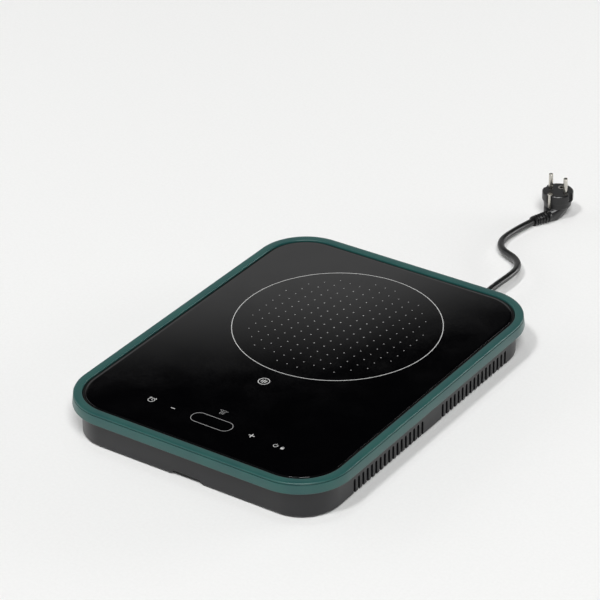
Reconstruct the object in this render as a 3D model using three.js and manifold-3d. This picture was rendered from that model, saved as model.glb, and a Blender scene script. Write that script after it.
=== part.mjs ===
// Portable single-zone induction cooktop: glass top in a moulded bezel, vented lower housing,
// coil, power and control electronics, cooling fan, mains lead with an angled earthed plug.
// Millimetres, +Z up, front towards -Y. The origin is on the table under the middle of the casing.
import * as THREE from "three";
import { mergeVertices } from "three/addons/utils/BufferGeometryUtils.js";
import { ConvexGeometry } from "three/addons/geometries/ConvexGeometry.js";
import Module from "manifold-3d";

const wasm = await Module();
wasm.setup();

// ---- driving dimensions ----
const overallWidth = 310; // across the bezel skirt
const overallDepth = 410;
const overallHeight = 43.4; // table to the top of the bezel lip
const clearance = 0.3; // between separate pieces

const footGap = 2; // housing underside above the table
const footRadius = 8;
const footRecess = 1;
const footInsetX = 36; // foot centre in from the skirt
const footInsetY = 40;

const skirtFlare = 1.2; // the skirt's bottom edge stands out past the lip
const skirtHeight = 11.5;
const skirtWall = 2.2;
const lipWidth = 8.8;
const lipRadius = 53.4; // plan corner radius of the lip
const lipRoundover = 1.1;
const lipEdge = 1.5; // depth of the plain lip edge above the groove
const grooveDepth = 0.9;
const grooveHeight = 0.9;
const ledgeWidth = 8.2; // shelf under the glass edge
const ledgeThickness = 2;

const glassThickness = 4;
const glassDrop = 0.9; // glass face below the lip top
const sealWidth = 3; // dark band between glass and lip
const sealFlange = 0.7; // seal thickness under the glass

const housingInset = 8.8; // housing wall in from the lip outline
const housingRadius = 41;
const housingWall = 2.4;
const floorThickness = 2.5;
const floorChamfer = 1.2;
const ventPitch = 7.37;
const ventWidth = 3.5;
const ventTop = 17; // height of the slots' round ends above the table
const ventFloorReach = 6; // how far the slots run in over the floor
const ventFrontMargin = 22.9; // from the end of the wall's straight stretch
const ventRearMargin = 8;
const ventGap = 32.6; // plain wall between the two groups
const ventGapCentre = 7.9;
const notchWidthBottom = 36.4;
const notchWidthTop = 31;
const notchHeight = 4;
const notchDepth = 5;

const screwRadius = 1.5;
const screwHeadRadius = 2.8;
const screwHeadHeight = 2;
const bossRadius = 3.8;
const postRadius = 4.3;
const webThickness = 1.8; // between a case post and the wall
const bossDrop = 8; // bezel boss below the ledge's underside

const zoneToRear = 144.4; // cooking zone centre to the skirt's rear edge
const windingRadius = 90;
const windingInner = 20;
const windingThickness = 4;
const micaThickness = 0.8;
const micaToGlass = 2.3;
const carrierThickness = 3;
const carrierRim = 4;
const spokeWidth = 14;
const spokeCount = 6;
const hubRadius = 16;
const sensorWell = 9; // radius of the well in the hub
const wellFloor = 1;
const earReach = 4.5; // carrier ear centre past its rim
const earRadius = 6;
const ferriteLength = 58;
const ferriteWidth = 12;
const ferriteThickness = 4;
const sensorRadius = 7;
const sensorTravel = 2.5; // from the glass down to the spring's solid height
const springWire = 0.8;
const springRadius = 4.5;

const fanSize = 80;
const fanHeight = 15;
const fanWall = 2;
const fanTipGap = 1.5;
const fanHubRadius = 15;
const fanShaftRadius = 1.5;
const fanBlades = 7;
const fanToSide = 70; // fan centre in from the skirt's left edge
const fanToFront = 116;
const grilleBar = 3.5;

const boardThickness = 1.6;
const boardStandoff = 4.2;
const powerBoardWidth = 160;
const powerBoardDepth = 118;
const powerBoardX = 48; // board centre right of the casing's middle, which the control board shares
const powerBoardToFront = 40;
const heatSinkWidth = 70;
const heatSinkDepth = 60;
const heatSinkFins = 9;
const heatSinkTopGap = 3.5; // below the glass
const deviceHeight = 5;
const controlBoardWidth = 204;
const controlBoardDepth = 48;
const controlRow = 51.5; // touch row in from the skirt's front edge
const controlBoardDrop = 7.5; // board's underside below the glass
const touchPadRadius = 4.5;
const touchPlaces = [-70.5, -44.3, 46.4, 74.9]; // along X in the touch row
const displayWidth = 38;
const displayDepth = 13;

const cordDiameter = 7.4;
const cordSides = 10;
const cordSteps = 24;
const cornerSteps = 8; // flats round a quarter of the casing's plan corners
const cordX = 66.5; // cord exit on the back wall
const cordExitHeight = 14;
const grommetLength = 32;
const grommetFlange = 2;
const grommetWall = 2.4; // rubber round the cord at the wall

const plugX = 30.8;
const plugY = 449.2;
const plugYaw = -4; // degrees
const plugHeight = 31;
const plugRadius = 17.3;
const plugRimHeight = 10;
const plugWaist = 14.5; // height where the round body starts to narrow
const plugKeel = 6.5; // half width of the plug's underside
const pinSpacing = 19;
const pinRadius = 2.4;
const pinLength = 17.8;
const pinSocket = 6;
const reliefRadius = 6.6;

// ---- derived levels and outlines ----
const cordRadius = cordDiameter / 2;
const lipHalfX = overallWidth / 2 - skirtFlare;
const lipHalfY = overallDepth / 2 - skirtFlare;
const glassTop = overallHeight - glassDrop;
const glassBottom = glassTop - glassThickness;
const ledgeTop = glassBottom - sealFlange - 2 * clearance;
const deckBottom = ledgeTop - ledgeThickness;
const skirtBottom = overallHeight - skirtHeight;
const glassInset = lipWidth + sealWidth;
const wallX = lipHalfX - housingInset;
const wallY = lipHalfY - housingInset;
const wallTop = deckBottom - clearance;
const floorTop = footGap + floorThickness;
const zoneY = overallDepth / 2 - zoneToRear;
const micaTop = glassBottom - micaToGlass;
const windingTop = micaTop - micaThickness - clearance;
const carrierTop = windingTop - windingThickness - clearance;
const carrierBottom = carrierTop - carrierThickness;
const carrierRadius = windingRadius + carrierRim;
const earDistance = carrierRadius + earReach;
const touchY = -overallDepth / 2 + controlRow;
const controlBoardTop = glassBottom - controlBoardDrop + boardThickness;
const fanX = -overallWidth / 2 + fanToSide;
const fanY = -overallDepth / 2 + fanToFront;
const fanBottom = floorTop + clearance;
const boardY = -overallDepth / 2 + powerBoardToFront + powerBoardDepth / 2;
const boardBottom = floorTop + boardStandoff + clearance;
const boardTop = boardBottom + boardThickness;

// ---- materials ----
function finish(colour, roughness, metalness = 0) {
  return new THREE.MeshStandardMaterial({ color: colour, roughness, metalness });
}
const tealPlastic = finish(0x2f5b5b, 0.45);
const greyPlastic = finish(0x3a3a3d, 0.55);
const blackGlass = finish(0x08080a, 0.06);
const blackRubber = finish(0x151516, 0.8);
const blackPvc = finish(0x1b1b1d, 0.5);
const heatResistantPlastic = finish(0x8a8478, 0.6);
const copper = finish(0xb5683a, 0.35, 1);
const ferrite = finish(0x2b2b2e, 0.7);
const mica = finish(0xc9b98a, 0.5);
const boardGreen = finish(0x1f5a34, 0.5);
const aluminium = finish(0xb9bcc0, 0.35, 1);
const steel = finish(0x9fa2a6, 0.3, 1);
const nickel = finish(0xc4c3be, 0.25, 1);
const deviceBlack = finish(0x1c1c1e, 0.5);
const capacitorYellow = finish(0xc79a2c, 0.45);

// ---- shapes ----
const cooktop = new THREE.Group();

function add(name, geometry, material, x = 0, y = 0, z = 0, parent = cooktop) {
  const mesh = new THREE.Mesh(geometry, material);
  mesh.name = name;
  mesh.position.set(x, y, z);
  parent.add(mesh);
  return mesh;
}

function solid(geometry) {
  const bare = geometry.index ? geometry.toNonIndexed() : geometry.clone();
  bare.deleteAttribute("normal");
  bare.deleteAttribute("uv");
  const merged = mergeVertices(bare, 1e-4);
  const vertProperties = merged.attributes.position.array;
  const triVerts = new Uint32Array(merged.index.array);
  return new wasm.Manifold(new wasm.Mesh({ numProp: 3, vertProperties, triVerts }));
}

function geometryOf(manifold) {
  const mesh = manifold.getMesh();
  const geometry = new THREE.BufferGeometry();
  geometry.setAttribute("position", new THREE.BufferAttribute(mesh.vertProperties, 3));
  geometry.setIndex(new THREE.BufferAttribute(mesh.triVerts, 1));
  return geometry;
}

function joined(...geometries) {
  return geometries.map(solid).reduce((whole, piece) => whole.add(piece));
}

function block(x0, x1, y0, y1, z0, z1) {
  const geometry = new THREE.BoxGeometry(x1 - x0, y1 - y0, z1 - z0);
  return geometry.translate((x0 + x1) / 2, (y0 + y1) / 2, (z0 + z1) / 2);
}

// A slab wider than the casing, to cut a piece off at a level.
function slab(z0, z1) {
  return block(-overallWidth, overallWidth, -overallDepth, overallDepth, z0, z1);
}

function rod(radius, z0, z1, x = 0, y = 0, sides = 12) {
  const geometry = new THREE.CylinderGeometry(radius, radius, z1 - z0, sides);
  return geometry.rotateX(Math.PI / 2).translate(x, y, (z0 + z1) / 2);
}

// A turned piece about Z; the profile lists [radius, z].
function turned(profile, sides = 24) {
  const points = profile.map(([radius, z]) => new THREE.Vector2(radius, z));
  return new THREE.LatheGeometry(points, sides).rotateX(Math.PI / 2);
}

function roundedOutline(halfX, halfY, radius) {
  const shape = new THREE.Shape();
  shape.absarc(halfX - radius, halfY - radius, radius, 0, Math.PI / 2);
  shape.absarc(-halfX + radius, halfY - radius, radius, Math.PI / 2, Math.PI);
  shape.absarc(-halfX + radius, -halfY + radius, radius, Math.PI, 1.5 * Math.PI);
  shape.absarc(halfX - radius, -halfY + radius, radius, 1.5 * Math.PI, 2 * Math.PI);
  return shape;
}

function plate(halfX, halfY, radius, z0, z1, chamfer = 0) {
  const geometry = new THREE.ExtrudeGeometry(roundedOutline(halfX, halfY, radius), {
    depth: z1 - z0 - 2 * chamfer,
    curveSegments: cornerSteps / 2,
    bevelEnabled: chamfer > 0,
    bevelThickness: chamfer,
    bevelSize: chamfer,
    bevelOffset: -chamfer,
    bevelSegments: 1,
  });
  return geometry.translate(0, 0, z0 + chamfer);
}

// A ring with a constant section round a rounded rectangle: a turned ring whose four quarters are
// moved apart. The profile lists [distance outside the outline, z]. The straight sides span the
// gap between two quarters, so the radius is enlarged to bring their flats onto the outline.
function frameRing(profile, halfX, halfY, radius) {
  const step = Math.PI / 2 / cornerSteps;
  const toFlat = 1 / Math.cos(step / 2);
  const points = profile.map(([out, z]) => new THREE.Vector2((radius + out) * toFlat, z));
  const ring = new THREE.LatheGeometry(points, 4 * cornerSteps, step / 2);
  ring.rotateX(Math.PI / 2);
  const place = ring.attributes.position;
  for (let i = 0; i < place.count; i++) {
    place.setX(i, place.getX(i) + Math.sign(place.getX(i)) * (halfX - radius));
    place.setY(i, place.getY(i) + Math.sign(place.getY(i)) * (halfY - radius));
  }
  return ring;
}

function tube(points, radius, sides, steps) {
  const section = new THREE.Shape();
  section.absarc(0, 0, radius, 0, 2 * Math.PI);
  const path = new THREE.CatmullRomCurve3(points.map((p) => new THREE.Vector3(...p)));
  // an arc is cut into twice as many flats as its curveSegments
  return new THREE.ExtrudeGeometry(section, { steps, curveSegments: sides / 2, extrudePath: path });
}

// Four-way mirrored places, as [name, x, y].
function corners(x, y) {
  return [
    ["front_left", -x, -y],
    ["front_right", x, -y],
    ["rear_left", -x, y],
    ["rear_right", x, y],
  ];
}

// ---- places shared by mating pieces ----
const straightHalfY = wallY - housingRadius;
const ventGroups = [
  [-straightHalfY + ventFrontMargin, ventGapCentre - ventGap / 2],
  [ventGapCentre + ventGap / 2, straightHalfY - ventRearMargin],
];
const bossX = wallX - housingWall - 2 * clearance - bossRadius;
const casePlaces = [];
for (const y of [ventGroups[0][0] - 11, ventGapCentre, ventGroups[1][1] + 10]) {
  casePlaces.push([-bossX, y], [bossX, y]);
}
const earPlaces = [0, 1, 2].map((i) => {
  const angle = Math.PI / 2 + (i * 2 * Math.PI) / 3;
  return [earDistance * Math.cos(angle), zoneY + earDistance * Math.sin(angle), angle];
});
const boardPostX = powerBoardWidth / 2 - 6;
const boardPostY = powerBoardDepth / 2 - 6;
const boardPosts = corners(boardPostX, boardPostY).map(([, x, y]) => [powerBoardX + x, boardY + y]);
const controlPostX = controlBoardWidth / 2 - 6;
const controlPostY = controlBoardDepth / 2 - 5;
const controlPosts = corners(controlPostX, controlPostY).map(([, x, y]) => [x, touchY + y]);
const footPlaces = corners(overallWidth / 2 - footInsetX, overallDepth / 2 - footInsetY);
const clampY = wallY - 24;
const clampPostX = cordRadius + postRadius + 2 * clearance;
const clampBottom = cordExitHeight + cordRadius + clearance;

// ---- casing ----
function bezelFrame() {
  const top = overallHeight;
  const profile = [
    [-lipWidth, top],
    [-lipWidth, ledgeTop],
    [-lipWidth - ledgeWidth, ledgeTop],
    [-lipWidth - ledgeWidth, deckBottom],
    [-skirtWall, deckBottom],
    [skirtFlare - skirtWall, skirtBottom],
    [skirtFlare - 0.6, skirtBottom],
    [skirtFlare, skirtBottom + 0.7],
    [0, top - lipEdge - grooveHeight],
    [-grooveDepth, top - lipEdge - grooveHeight],
    [-grooveDepth, top - lipEdge],
    [0, top - lipEdge],
    [0, top - lipRoundover],
    [-lipRoundover * 0.3, top - lipRoundover * 0.3],
    [-lipRoundover, top],
    [-lipWidth, top],
  ];
  let frame = solid(frameRing(profile, lipHalfX, lipHalfY, lipRadius));
  for (const [x, y] of casePlaces) {
    const boss = solid(rod(bossRadius, deckBottom - bossDrop, deckBottom + 0.5, x, y));
    const bore = solid(rod(screwRadius + clearance, deckBottom - bossDrop - 1, deckBottom - 1, x, y, 8));
    frame = frame.add(boss).subtract(bore);
  }
  return geometryOf(frame);
}

function glassSeal() {
  const outer = -lipWidth - clearance;
  const inner = -glassInset + clearance;
  const flangeEdge = -lipWidth - ledgeWidth + clearance;
  const top = glassTop - clearance;
  const flangeTop = glassBottom - clearance;
  const profile = [
    [outer, top],
    [inner, top],
    [inner, flangeTop],
    [flangeEdge, flangeTop],
    [flangeEdge, flangeTop - sealFlange],
    [outer, flangeTop - sealFlange],
    [outer, top],
  ];
  return frameRing(profile, lipHalfX, lipHalfY, lipRadius);
}

function glassPlate() {
  const halfX = lipHalfX - glassInset;
  const halfY = lipHalfY - glassInset;
  return plate(halfX, halfY, lipRadius - glassInset, glassBottom, glassTop, 0.5);
}

// One wall slot with a rounded top, running on under the floor's edge.
function ventCutter(side, y) {
  const slot = new THREE.Shape();
  slot.moveTo(-ventWidth / 2, 0);
  slot.lineTo(ventWidth / 2, 0);
  slot.lineTo(ventWidth / 2, ventTop - ventWidth / 2);
  slot.lineTo(ventWidth / 4, ventTop);
  slot.lineTo(-ventWidth / 4, ventTop);
  slot.lineTo(-ventWidth / 2, ventTop - ventWidth / 2);
  const length = ventFloorReach + 1;
  const cutter = new THREE.ExtrudeGeometry(slot, { depth: length, bevelEnabled: false });
  cutter.rotateX(Math.PI / 2).rotateZ(Math.PI / 2);
  const inner = side > 0 ? wallX - ventFloorReach : -wallX - 1;
  return cutter.translate(inner, y, 0);
}

function ventCutters() {
  const cutters = [];
  for (const [start, end] of ventGroups) {
    const count = Math.floor((end - start - ventWidth) / ventPitch) + 1;
    const first = (start + end - (count - 1) * ventPitch) / 2;
    for (let i = 0; i < count; i++) {
      cutters.push(ventCutter(1, first + i * ventPitch), ventCutter(-1, first + i * ventPitch));
    }
  }
  return cutters;
}

// Parallel intake slots under the fan, shorter towards the edge, with a rib across the middle.
function grilleCutters() {
  const reach = fanSize / 2 - fanWall - fanTipGap;
  const pitch = 2 * grilleBar;
  const count = Math.floor(reach / pitch);
  const cutters = [];
  for (let i = -count; i <= count; i++) {
    const x = i * pitch;
    const half = Math.sqrt(reach * reach - x * x);
    for (const side of [-1, 1]) {
      const near = Math.min(side * grilleBar, side * half);
      const far = Math.max(side * grilleBar, side * half);
      const x0 = fanX + x - grilleBar / 2;
      cutters.push(block(x0, x0 + grilleBar, fanY + near, fanY + far, footGap - 1, floorTop + 1));
    }
  }
  return cutters;
}

function notchCutter() {
  const shape = new THREE.Shape();
  shape.moveTo(-notchWidthBottom / 2, footGap - 1);
  shape.lineTo(notchWidthBottom / 2, footGap - 1);
  shape.lineTo(notchWidthTop / 2, footGap + notchHeight);
  shape.lineTo(-notchWidthTop / 2, footGap + notchHeight);
  shape.closePath();
  const cutter = new THREE.ExtrudeGeometry(shape, { depth: notchDepth + 1, bevelEnabled: false });
  return cutter.rotateX(Math.PI / 2).translate(0, -wallY + notchDepth, 0);
}

// The floor of the casing with the posts that stand on it, below the seam under the wall.
function housingFloor() {
  const below = footGap - 1;
  let tray = solid(plate(wallX, wallY, housingRadius, footGap, wallTop, floorChamfer));
  tray = tray.subtract(solid(slab(floorTop, overallHeight)));
  tray = tray.subtract(solid(notchCutter()));
  for (const cutter of [...ventCutters(), ...grilleCutters()]) {
    tray = tray.subtract(solid(cutter));
  }
  for (const [x, y] of casePlaces) {
    tray = tray.subtract(solid(rod(screwHeadRadius + clearance, below, floorTop + 1, x, y, 12)));
  }
  for (const [x, y] of earPlaces) {
    tray = tray.add(solid(rod(postRadius, floorTop - 1, carrierBottom - clearance, x, y)));
    tray = tray.subtract(solid(rod(screwRadius + clearance, carrierBottom - 9, wallTop, x, y, 8)));
  }
  for (const [x, y] of boardPosts) {
    tray = tray.add(solid(rod(bossRadius, floorTop - 1, boardBottom - clearance, x, y)));
  }
  for (const [x, y] of controlPosts) {
    const top = controlBoardTop - boardThickness - clearance;
    tray = tray.add(solid(rod(bossRadius, floorTop - 1, top, x, y)));
  }
  for (const side of [-1, 1]) {
    const x = cordX + side * clampPostX;
    tray = tray.add(solid(rod(postRadius, floorTop - 1, clampBottom - clearance, x, clampY)));
    tray = tray.subtract(solid(rod(screwRadius + clearance, clampBottom - 7, clampBottom, x, clampY, 8)));
  }
  for (const [, x, y] of footPlaces) {
    tray = tray.subtract(solid(rod(footRadius + clearance, below, footGap + footRecess, x, y, 20)));
  }
  return geometryOf(tray);
}

// The wall of the casing, with the case screws' posts webbed to it.
function housingWallRing() {
  const seam = floorTop + clearance;
  const innerX = wallX - housingWall;
  const innerY = wallY - housingWall;
  let ring = solid(plate(wallX, wallY, housingRadius, footGap, wallTop, floorChamfer));
  ring = ring.subtract(solid(plate(innerX, innerY, housingRadius - housingWall, footGap - 1, wallTop + 1)));
  const notchHalf = notchWidthBottom / 2 + housingWall;
  const notchRoof = footGap + notchHeight + housingWall;
  const notchBack = -wallY + notchDepth + housingWall;
  const notchFront = -innerY - housingWall / 2;
  ring = ring.add(solid(block(-notchHalf, notchHalf, notchFront, notchBack, footGap + 1, notchRoof)));
  ring = ring.subtract(solid(notchCutter()));
  for (const cutter of ventCutters()) {
    ring = ring.subtract(solid(cutter));
  }
  for (const [x, y] of casePlaces) {
    const top = deckBottom - bossDrop - clearance;
    const side = Math.sign(x);
    const web = [side * (innerX + housingWall / 2), x].sort((a, b) => a - b);
    ring = ring.add(solid(rod(postRadius, footGap + 1, top, x, y)));
    ring = ring.add(solid(block(...web, y - webThickness / 2, y + webThickness / 2, footGap + 1, top)));
    ring = ring.subtract(solid(rod(screwHeadRadius + clearance, 0, top - floorThickness, x, y, 12)));
    ring = ring.subtract(solid(rod(screwRadius + clearance, 0, top + 1, x, y, 8)));
  }
  const gland = rod(cordRadius + grommetWall + clearance, -2 * housingWall, 2 * housingWall, 0, 0, 24);
  gland.rotateX(Math.PI / 2).translate(cordX, wallY, cordExitHeight);
  ring = ring.subtract(solid(gland));
  return geometryOf(ring.subtract(solid(slab(0, seam))));
}

add("bezel_frame", bezelFrame(), tealPlastic);
add("glass_seal", glassSeal(), blackRubber);
add("glass_top", glassPlate(), blackGlass);
add("housing_floor", housingFloor(), greyPlastic);
add("housing_wall", housingWallRing(), greyPlastic);

const footTop = footGap + footRecess - clearance;
const footProfile = [
  [0, 0],
  [footRadius - 0.6, 0],
  [footRadius, 0.6],
  [footRadius, footTop],
  [0, footTop],
];
for (const [corner, x, y] of footPlaces) {
  add(`foot_${corner}`, turned(footProfile), blackRubber, x, y);
}

// A pan-head screw whose head's underside is at its origin and whose shank points up.
function screw(shank) {
  const profile = [
    [0, -screwHeadHeight],
    [screwHeadRadius - 0.7, -screwHeadHeight],
    [screwHeadRadius, -screwHeadHeight / 2],
    [screwHeadRadius, 0],
    [screwRadius, 0],
    [screwRadius, shank],
    [0, shank],
  ];
  return turned(profile, 8);
}

const caseScrewSeat = deckBottom - bossDrop - 2 * clearance - floorThickness;
casePlaces.forEach(([x, y], i) => {
  add(`case_screw_${i + 1}`, screw(floorThickness + bossDrop - 2), steel, x, y, caseScrewSeat);
});

// ---- coil ----
function coilCarrier() {
  const rim = turned([
    [carrierRadius - carrierRim, carrierBottom],
    [carrierRadius, carrierBottom],
    [carrierRadius, carrierTop],
    [carrierRadius - carrierRim, carrierTop],
    [carrierRadius - carrierRim, carrierBottom],
  ], 36);
  let carrier = solid(rim).add(solid(rod(hubRadius, carrierBottom, carrierTop, 0, 0, 24)));
  for (let i = 0; i < spokeCount; i++) {
    const side = spokeWidth / 2;
    const spoke = block(hubRadius - 3, carrierRadius - 1, -side, side, carrierBottom, carrierTop);
    carrier = carrier.add(solid(spoke.rotateZ((i * 2 * Math.PI) / spokeCount)));
  }
  carrier = carrier.subtract(solid(rod(sensorWell, carrierBottom + wellFloor, carrierTop + 1, 0, 0, 24)));
  carrier = carrier.subtract(solid(rod(3, carrierBottom - 1, carrierTop, 0, 0, 12)));
  for (const [x, y] of earPlaces) {
    carrier = carrier.add(solid(rod(earRadius, carrierBottom, carrierTop, x, y - zoneY)));
    const hole = rod(screwRadius + clearance, carrierBottom - 1, carrierTop + 1, x, y - zoneY, 8);
    carrier = carrier.subtract(solid(hole));
  }
  return geometryOf(carrier);
}

function washer(inner, outer, z0, z1, sides = 36) {
  const profile = [
    [inner, z0],
    [outer, z0],
    [outer, z1],
    [inner, z1],
    [inner, z0],
  ];
  return turned(profile, sides);
}

class SpringPath extends THREE.Curve {
  constructor(radius, height, turns) {
    super();
    Object.assign(this, { radius, height, turns });
  }
  getPoint(t, target = new THREE.Vector3()) {
    const angle = t * this.turns * 2 * Math.PI;
    return target.set(this.radius * Math.cos(angle), this.radius * Math.sin(angle), t * this.height);
  }
}

function sensorSpring(height) {
  const wire = new THREE.Shape();
  wire.absarc(0, 0, springWire / 2, 0, 2 * Math.PI);
  const path = new SpringPath(springRadius, height - 2 * springWire, 2);
  return new THREE.ExtrudeGeometry(wire, { steps: 24, curveSegments: 3, extrudePath: path });
}

const coil = new THREE.Group();
coil.position.set(0, zoneY, 0);
cooktop.add(coil);
add("coil_carrier", coilCarrier(), heatResistantPlastic, 0, 0, 0, coil);
const winding = washer(windingInner, windingRadius, windingTop - windingThickness, windingTop);
add("coil_winding", winding, copper, 0, 0, 0, coil);
add("mica_sheet", washer(sensorWell, windingRadius, micaTop - micaThickness, micaTop), mica, 0, 0, 0, coil);
const ferriteTop = carrierBottom - clearance;
for (let i = 0; i < spokeCount; i++) {
  const start = carrierRadius - carrierRim - ferriteLength;
  const side = ferriteWidth / 2;
  const bar = block(start, start + ferriteLength, -side, side, ferriteTop - ferriteThickness, ferriteTop);
  add(`ferrite_bar_${i + 1}`, bar, ferrite, 0, 0, 0, coil).rotation.z = (i * 2 * Math.PI) / spokeCount;
}
const sensorTop = glassBottom - clearance;
const springSeat = carrierBottom + wellFloor + clearance;
const springHeight = sensorTravel + 2 * springWire;
const sensorBottom = springSeat + springHeight + clearance;
const sensorCap = turned([
  [0, sensorBottom],
  [sensorRadius, sensorBottom],
  [sensorRadius, sensorTop - 1],
  [sensorRadius - 1, sensorTop],
  [0, sensorTop],
]);
add("sensor_cap", sensorCap, heatResistantPlastic, 0, 0, 0, coil);
add("sensor_spring", sensorSpring(springHeight), steel, 0, 0, springSeat + springWire, coil);
earPlaces.forEach(([x, y], i) => {
  const coilScrew = screw(carrierThickness + 6);
  const mesh = add(`coil_screw_${i + 1}`, coilScrew, steel, x, y, carrierTop + clearance);
  mesh.rotation.x = Math.PI;
});

// ---- fan ----
function fanFrame() {
  const half = fanSize / 2;
  const bore = half - fanWall;
  let frame = solid(plate(half, half, 4, 0, fanHeight));
  frame = frame.subtract(solid(rod(bore, -1, fanHeight + 1, 0, 0, 28)));
  frame = frame.add(solid(rod(fanHubRadius, 0, 2, 0, 0, 28)));
  for (let i = 0; i < 4; i++) {
    const strut = block(fanHubRadius - 1, bore + 0.5, -2, 2, 0, 2);
    frame = frame.add(solid(strut.rotateZ(Math.PI / 4 + (i * Math.PI) / 2)));
  }
  return geometryOf(frame.subtract(solid(rod(fanShaftRadius + clearance, -1, 3, 0, 0, 14))));
}

function fanRotor() {
  const tip = fanSize / 2 - fanWall - fanTipGap;
  const bottom = 2 + clearance;
  const bladeSpan = tip - fanHubRadius + 2;
  let rotor = solid(rod(fanHubRadius, bottom, fanHeight - 1, 0, 0, 28));
  rotor = rotor.add(solid(rod(fanShaftRadius, 0, bottom + 1, 0, 0, 12)));
  for (let i = 0; i < fanBlades; i++) {
    const blade = new THREE.BoxGeometry(bladeSpan, 1.4, 13);
    blade.rotateX(0.8).translate(fanHubRadius - 1 + bladeSpan / 2 - 1, 0, (bottom + fanHeight - 1) / 2);
    rotor = rotor.add(solid(blade.rotateZ((i * 2 * Math.PI) / fanBlades)));
  }
  return geometryOf(rotor);
}

const fan = new THREE.Group();
fan.position.set(fanX, fanY, fanBottom);
cooktop.add(fan);
add("fan_frame", fanFrame(), deviceBlack, 0, 0, 0, fan);
add("fan_rotor", fanRotor(), deviceBlack, 0, 0, 0, fan);

// ---- power electronics ----
function heatSink(height) {
  const halfX = heatSinkWidth / 2;
  const halfY = heatSinkDepth / 2;
  const fin = 1.8;
  let sink = solid(block(-halfX, halfX, -halfY, halfY, 0, 4));
  for (let i = 0; i < heatSinkFins; i++) {
    const y = -halfY + (i * (heatSinkDepth - fin)) / (heatSinkFins - 1);
    sink = sink.add(solid(block(-halfX, halfX, y, y + fin, 3, height)));
  }
  return geometryOf(sink);
}

function powerBoard() {
  const halfX = powerBoardWidth / 2;
  const halfY = powerBoardDepth / 2;
  const sheet = block(-halfX, halfX, -halfY, halfY, boardBottom, boardTop);
  let board = solid(sheet.translate(powerBoardX, boardY, 0));
  for (const [x, y] of controlPosts) {
    board = board.subtract(solid(rod(bossRadius + 1, boardBottom - 1, boardTop + 1, x, y)));
  }
  return geometryOf(board);
}

const deviceBottom = boardTop + clearance;
const sinkBottom = deviceBottom + deviceHeight + clearance;
const sinkX = powerBoardX - powerBoardWidth / 2 + heatSinkWidth / 2 + 8;
const sinkY = boardY + powerBoardDepth / 2 - heatSinkDepth / 2 - 14;
const heavyX = sinkX + heatSinkWidth / 2 + 32;
add("power_board", powerBoard(), boardGreen);
const transistor = block(-8, 8, -10.5, 10.5, 0, deviceHeight);
add("power_transistor", transistor, deviceBlack, sinkX - 18, sinkY, deviceBottom);
add("bridge_rectifier", block(-12, 12, -8, 8, 0, deviceHeight), deviceBlack, sinkX + 16, sinkY, deviceBottom);
add("heat_sink", heatSink(glassBottom - heatSinkTopGap - sinkBottom), aluminium, sinkX, sinkY, sinkBottom);
add("line_choke", washer(8, 17, 0, 14, 28), copper, heavyX, sinkY + 8, deviceBottom);
add("resonance_capacitor", block(-19, 19, -9, 9, 0, 17), deviceBlack, heavyX, sinkY - 24, deviceBottom);
add("filter_capacitor", block(-15, 15, -8, 8, 0, 15), capacitorYellow, heavyX - 30, sinkY - 50, deviceBottom);
add("buzzer", rod(6, 0, 8, 0, 0, 20), deviceBlack, sinkX, sinkY - 45, deviceBottom);

// ---- touch controls ----
const controlBoard = block(
  -controlBoardWidth / 2,
  controlBoardWidth / 2,
  touchY - controlBoardDepth / 2,
  touchY + controlBoardDepth / 2,
  controlBoardTop - boardThickness,
  controlBoardTop,
);
add("control_board", controlBoard, boardGreen);
const padBottom = controlBoardTop + clearance;
const padTop = glassBottom - clearance;
touchPlaces.forEach((x, i) => {
  add(`touch_pad_${i + 1}`, rod(touchPadRadius, padBottom, padTop), blackRubber, x, touchY);
});
const display = new THREE.BoxGeometry(displayWidth, displayDepth, padTop - 0.5 - padBottom);
add("display_module", display, deviceBlack, 1, touchY, (padBottom + padTop - 0.5) / 2);

// ---- mains inlet ----
const grommetRadius = cordRadius + grommetWall;
const wallInside = -housingWall - clearance;
const grommetProfile = [
  [0, wallInside - grommetFlange],
  [grommetRadius + 2, wallInside - grommetFlange],
  [grommetRadius + 2, wallInside],
  [grommetRadius, wallInside],
  [grommetRadius, clearance],
  [grommetRadius + 2, clearance],
  [grommetRadius + 2, clearance + grommetFlange],
  [grommetRadius, clearance + grommetFlange + 1],
  [cordRadius + 0.9, grommetLength],
  [0, grommetLength],
];
const grommet = add("cord_grommet", turned(grommetProfile, 16), blackRubber, cordX, wallY, cordExitHeight);
grommet.rotation.x = -Math.PI / 2;

const clampHalf = clampPostX + postRadius;
function cordClamp() {
  let clamp = solid(block(-clampHalf, clampHalf, -5, 5, 0, 3));
  for (const side of [-1, 1]) {
    clamp = clamp.subtract(solid(rod(screwRadius + clearance, -1, 4, side * clampPostX, 0, 8)));
  }
  return geometryOf(clamp);
}
add("cord_clamp", cordClamp(), deviceBlack, cordX, clampY, clampBottom);
[-1, 1].forEach((side, i) => {
  const clampScrew = add(`clamp_screw_${i + 1}`, screw(8), steel, cordX + side * clampPostX, clampY);
  clampScrew.position.z = clampBottom + 3 + clearance;
  clampScrew.rotation.x = Math.PI;
});

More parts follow.
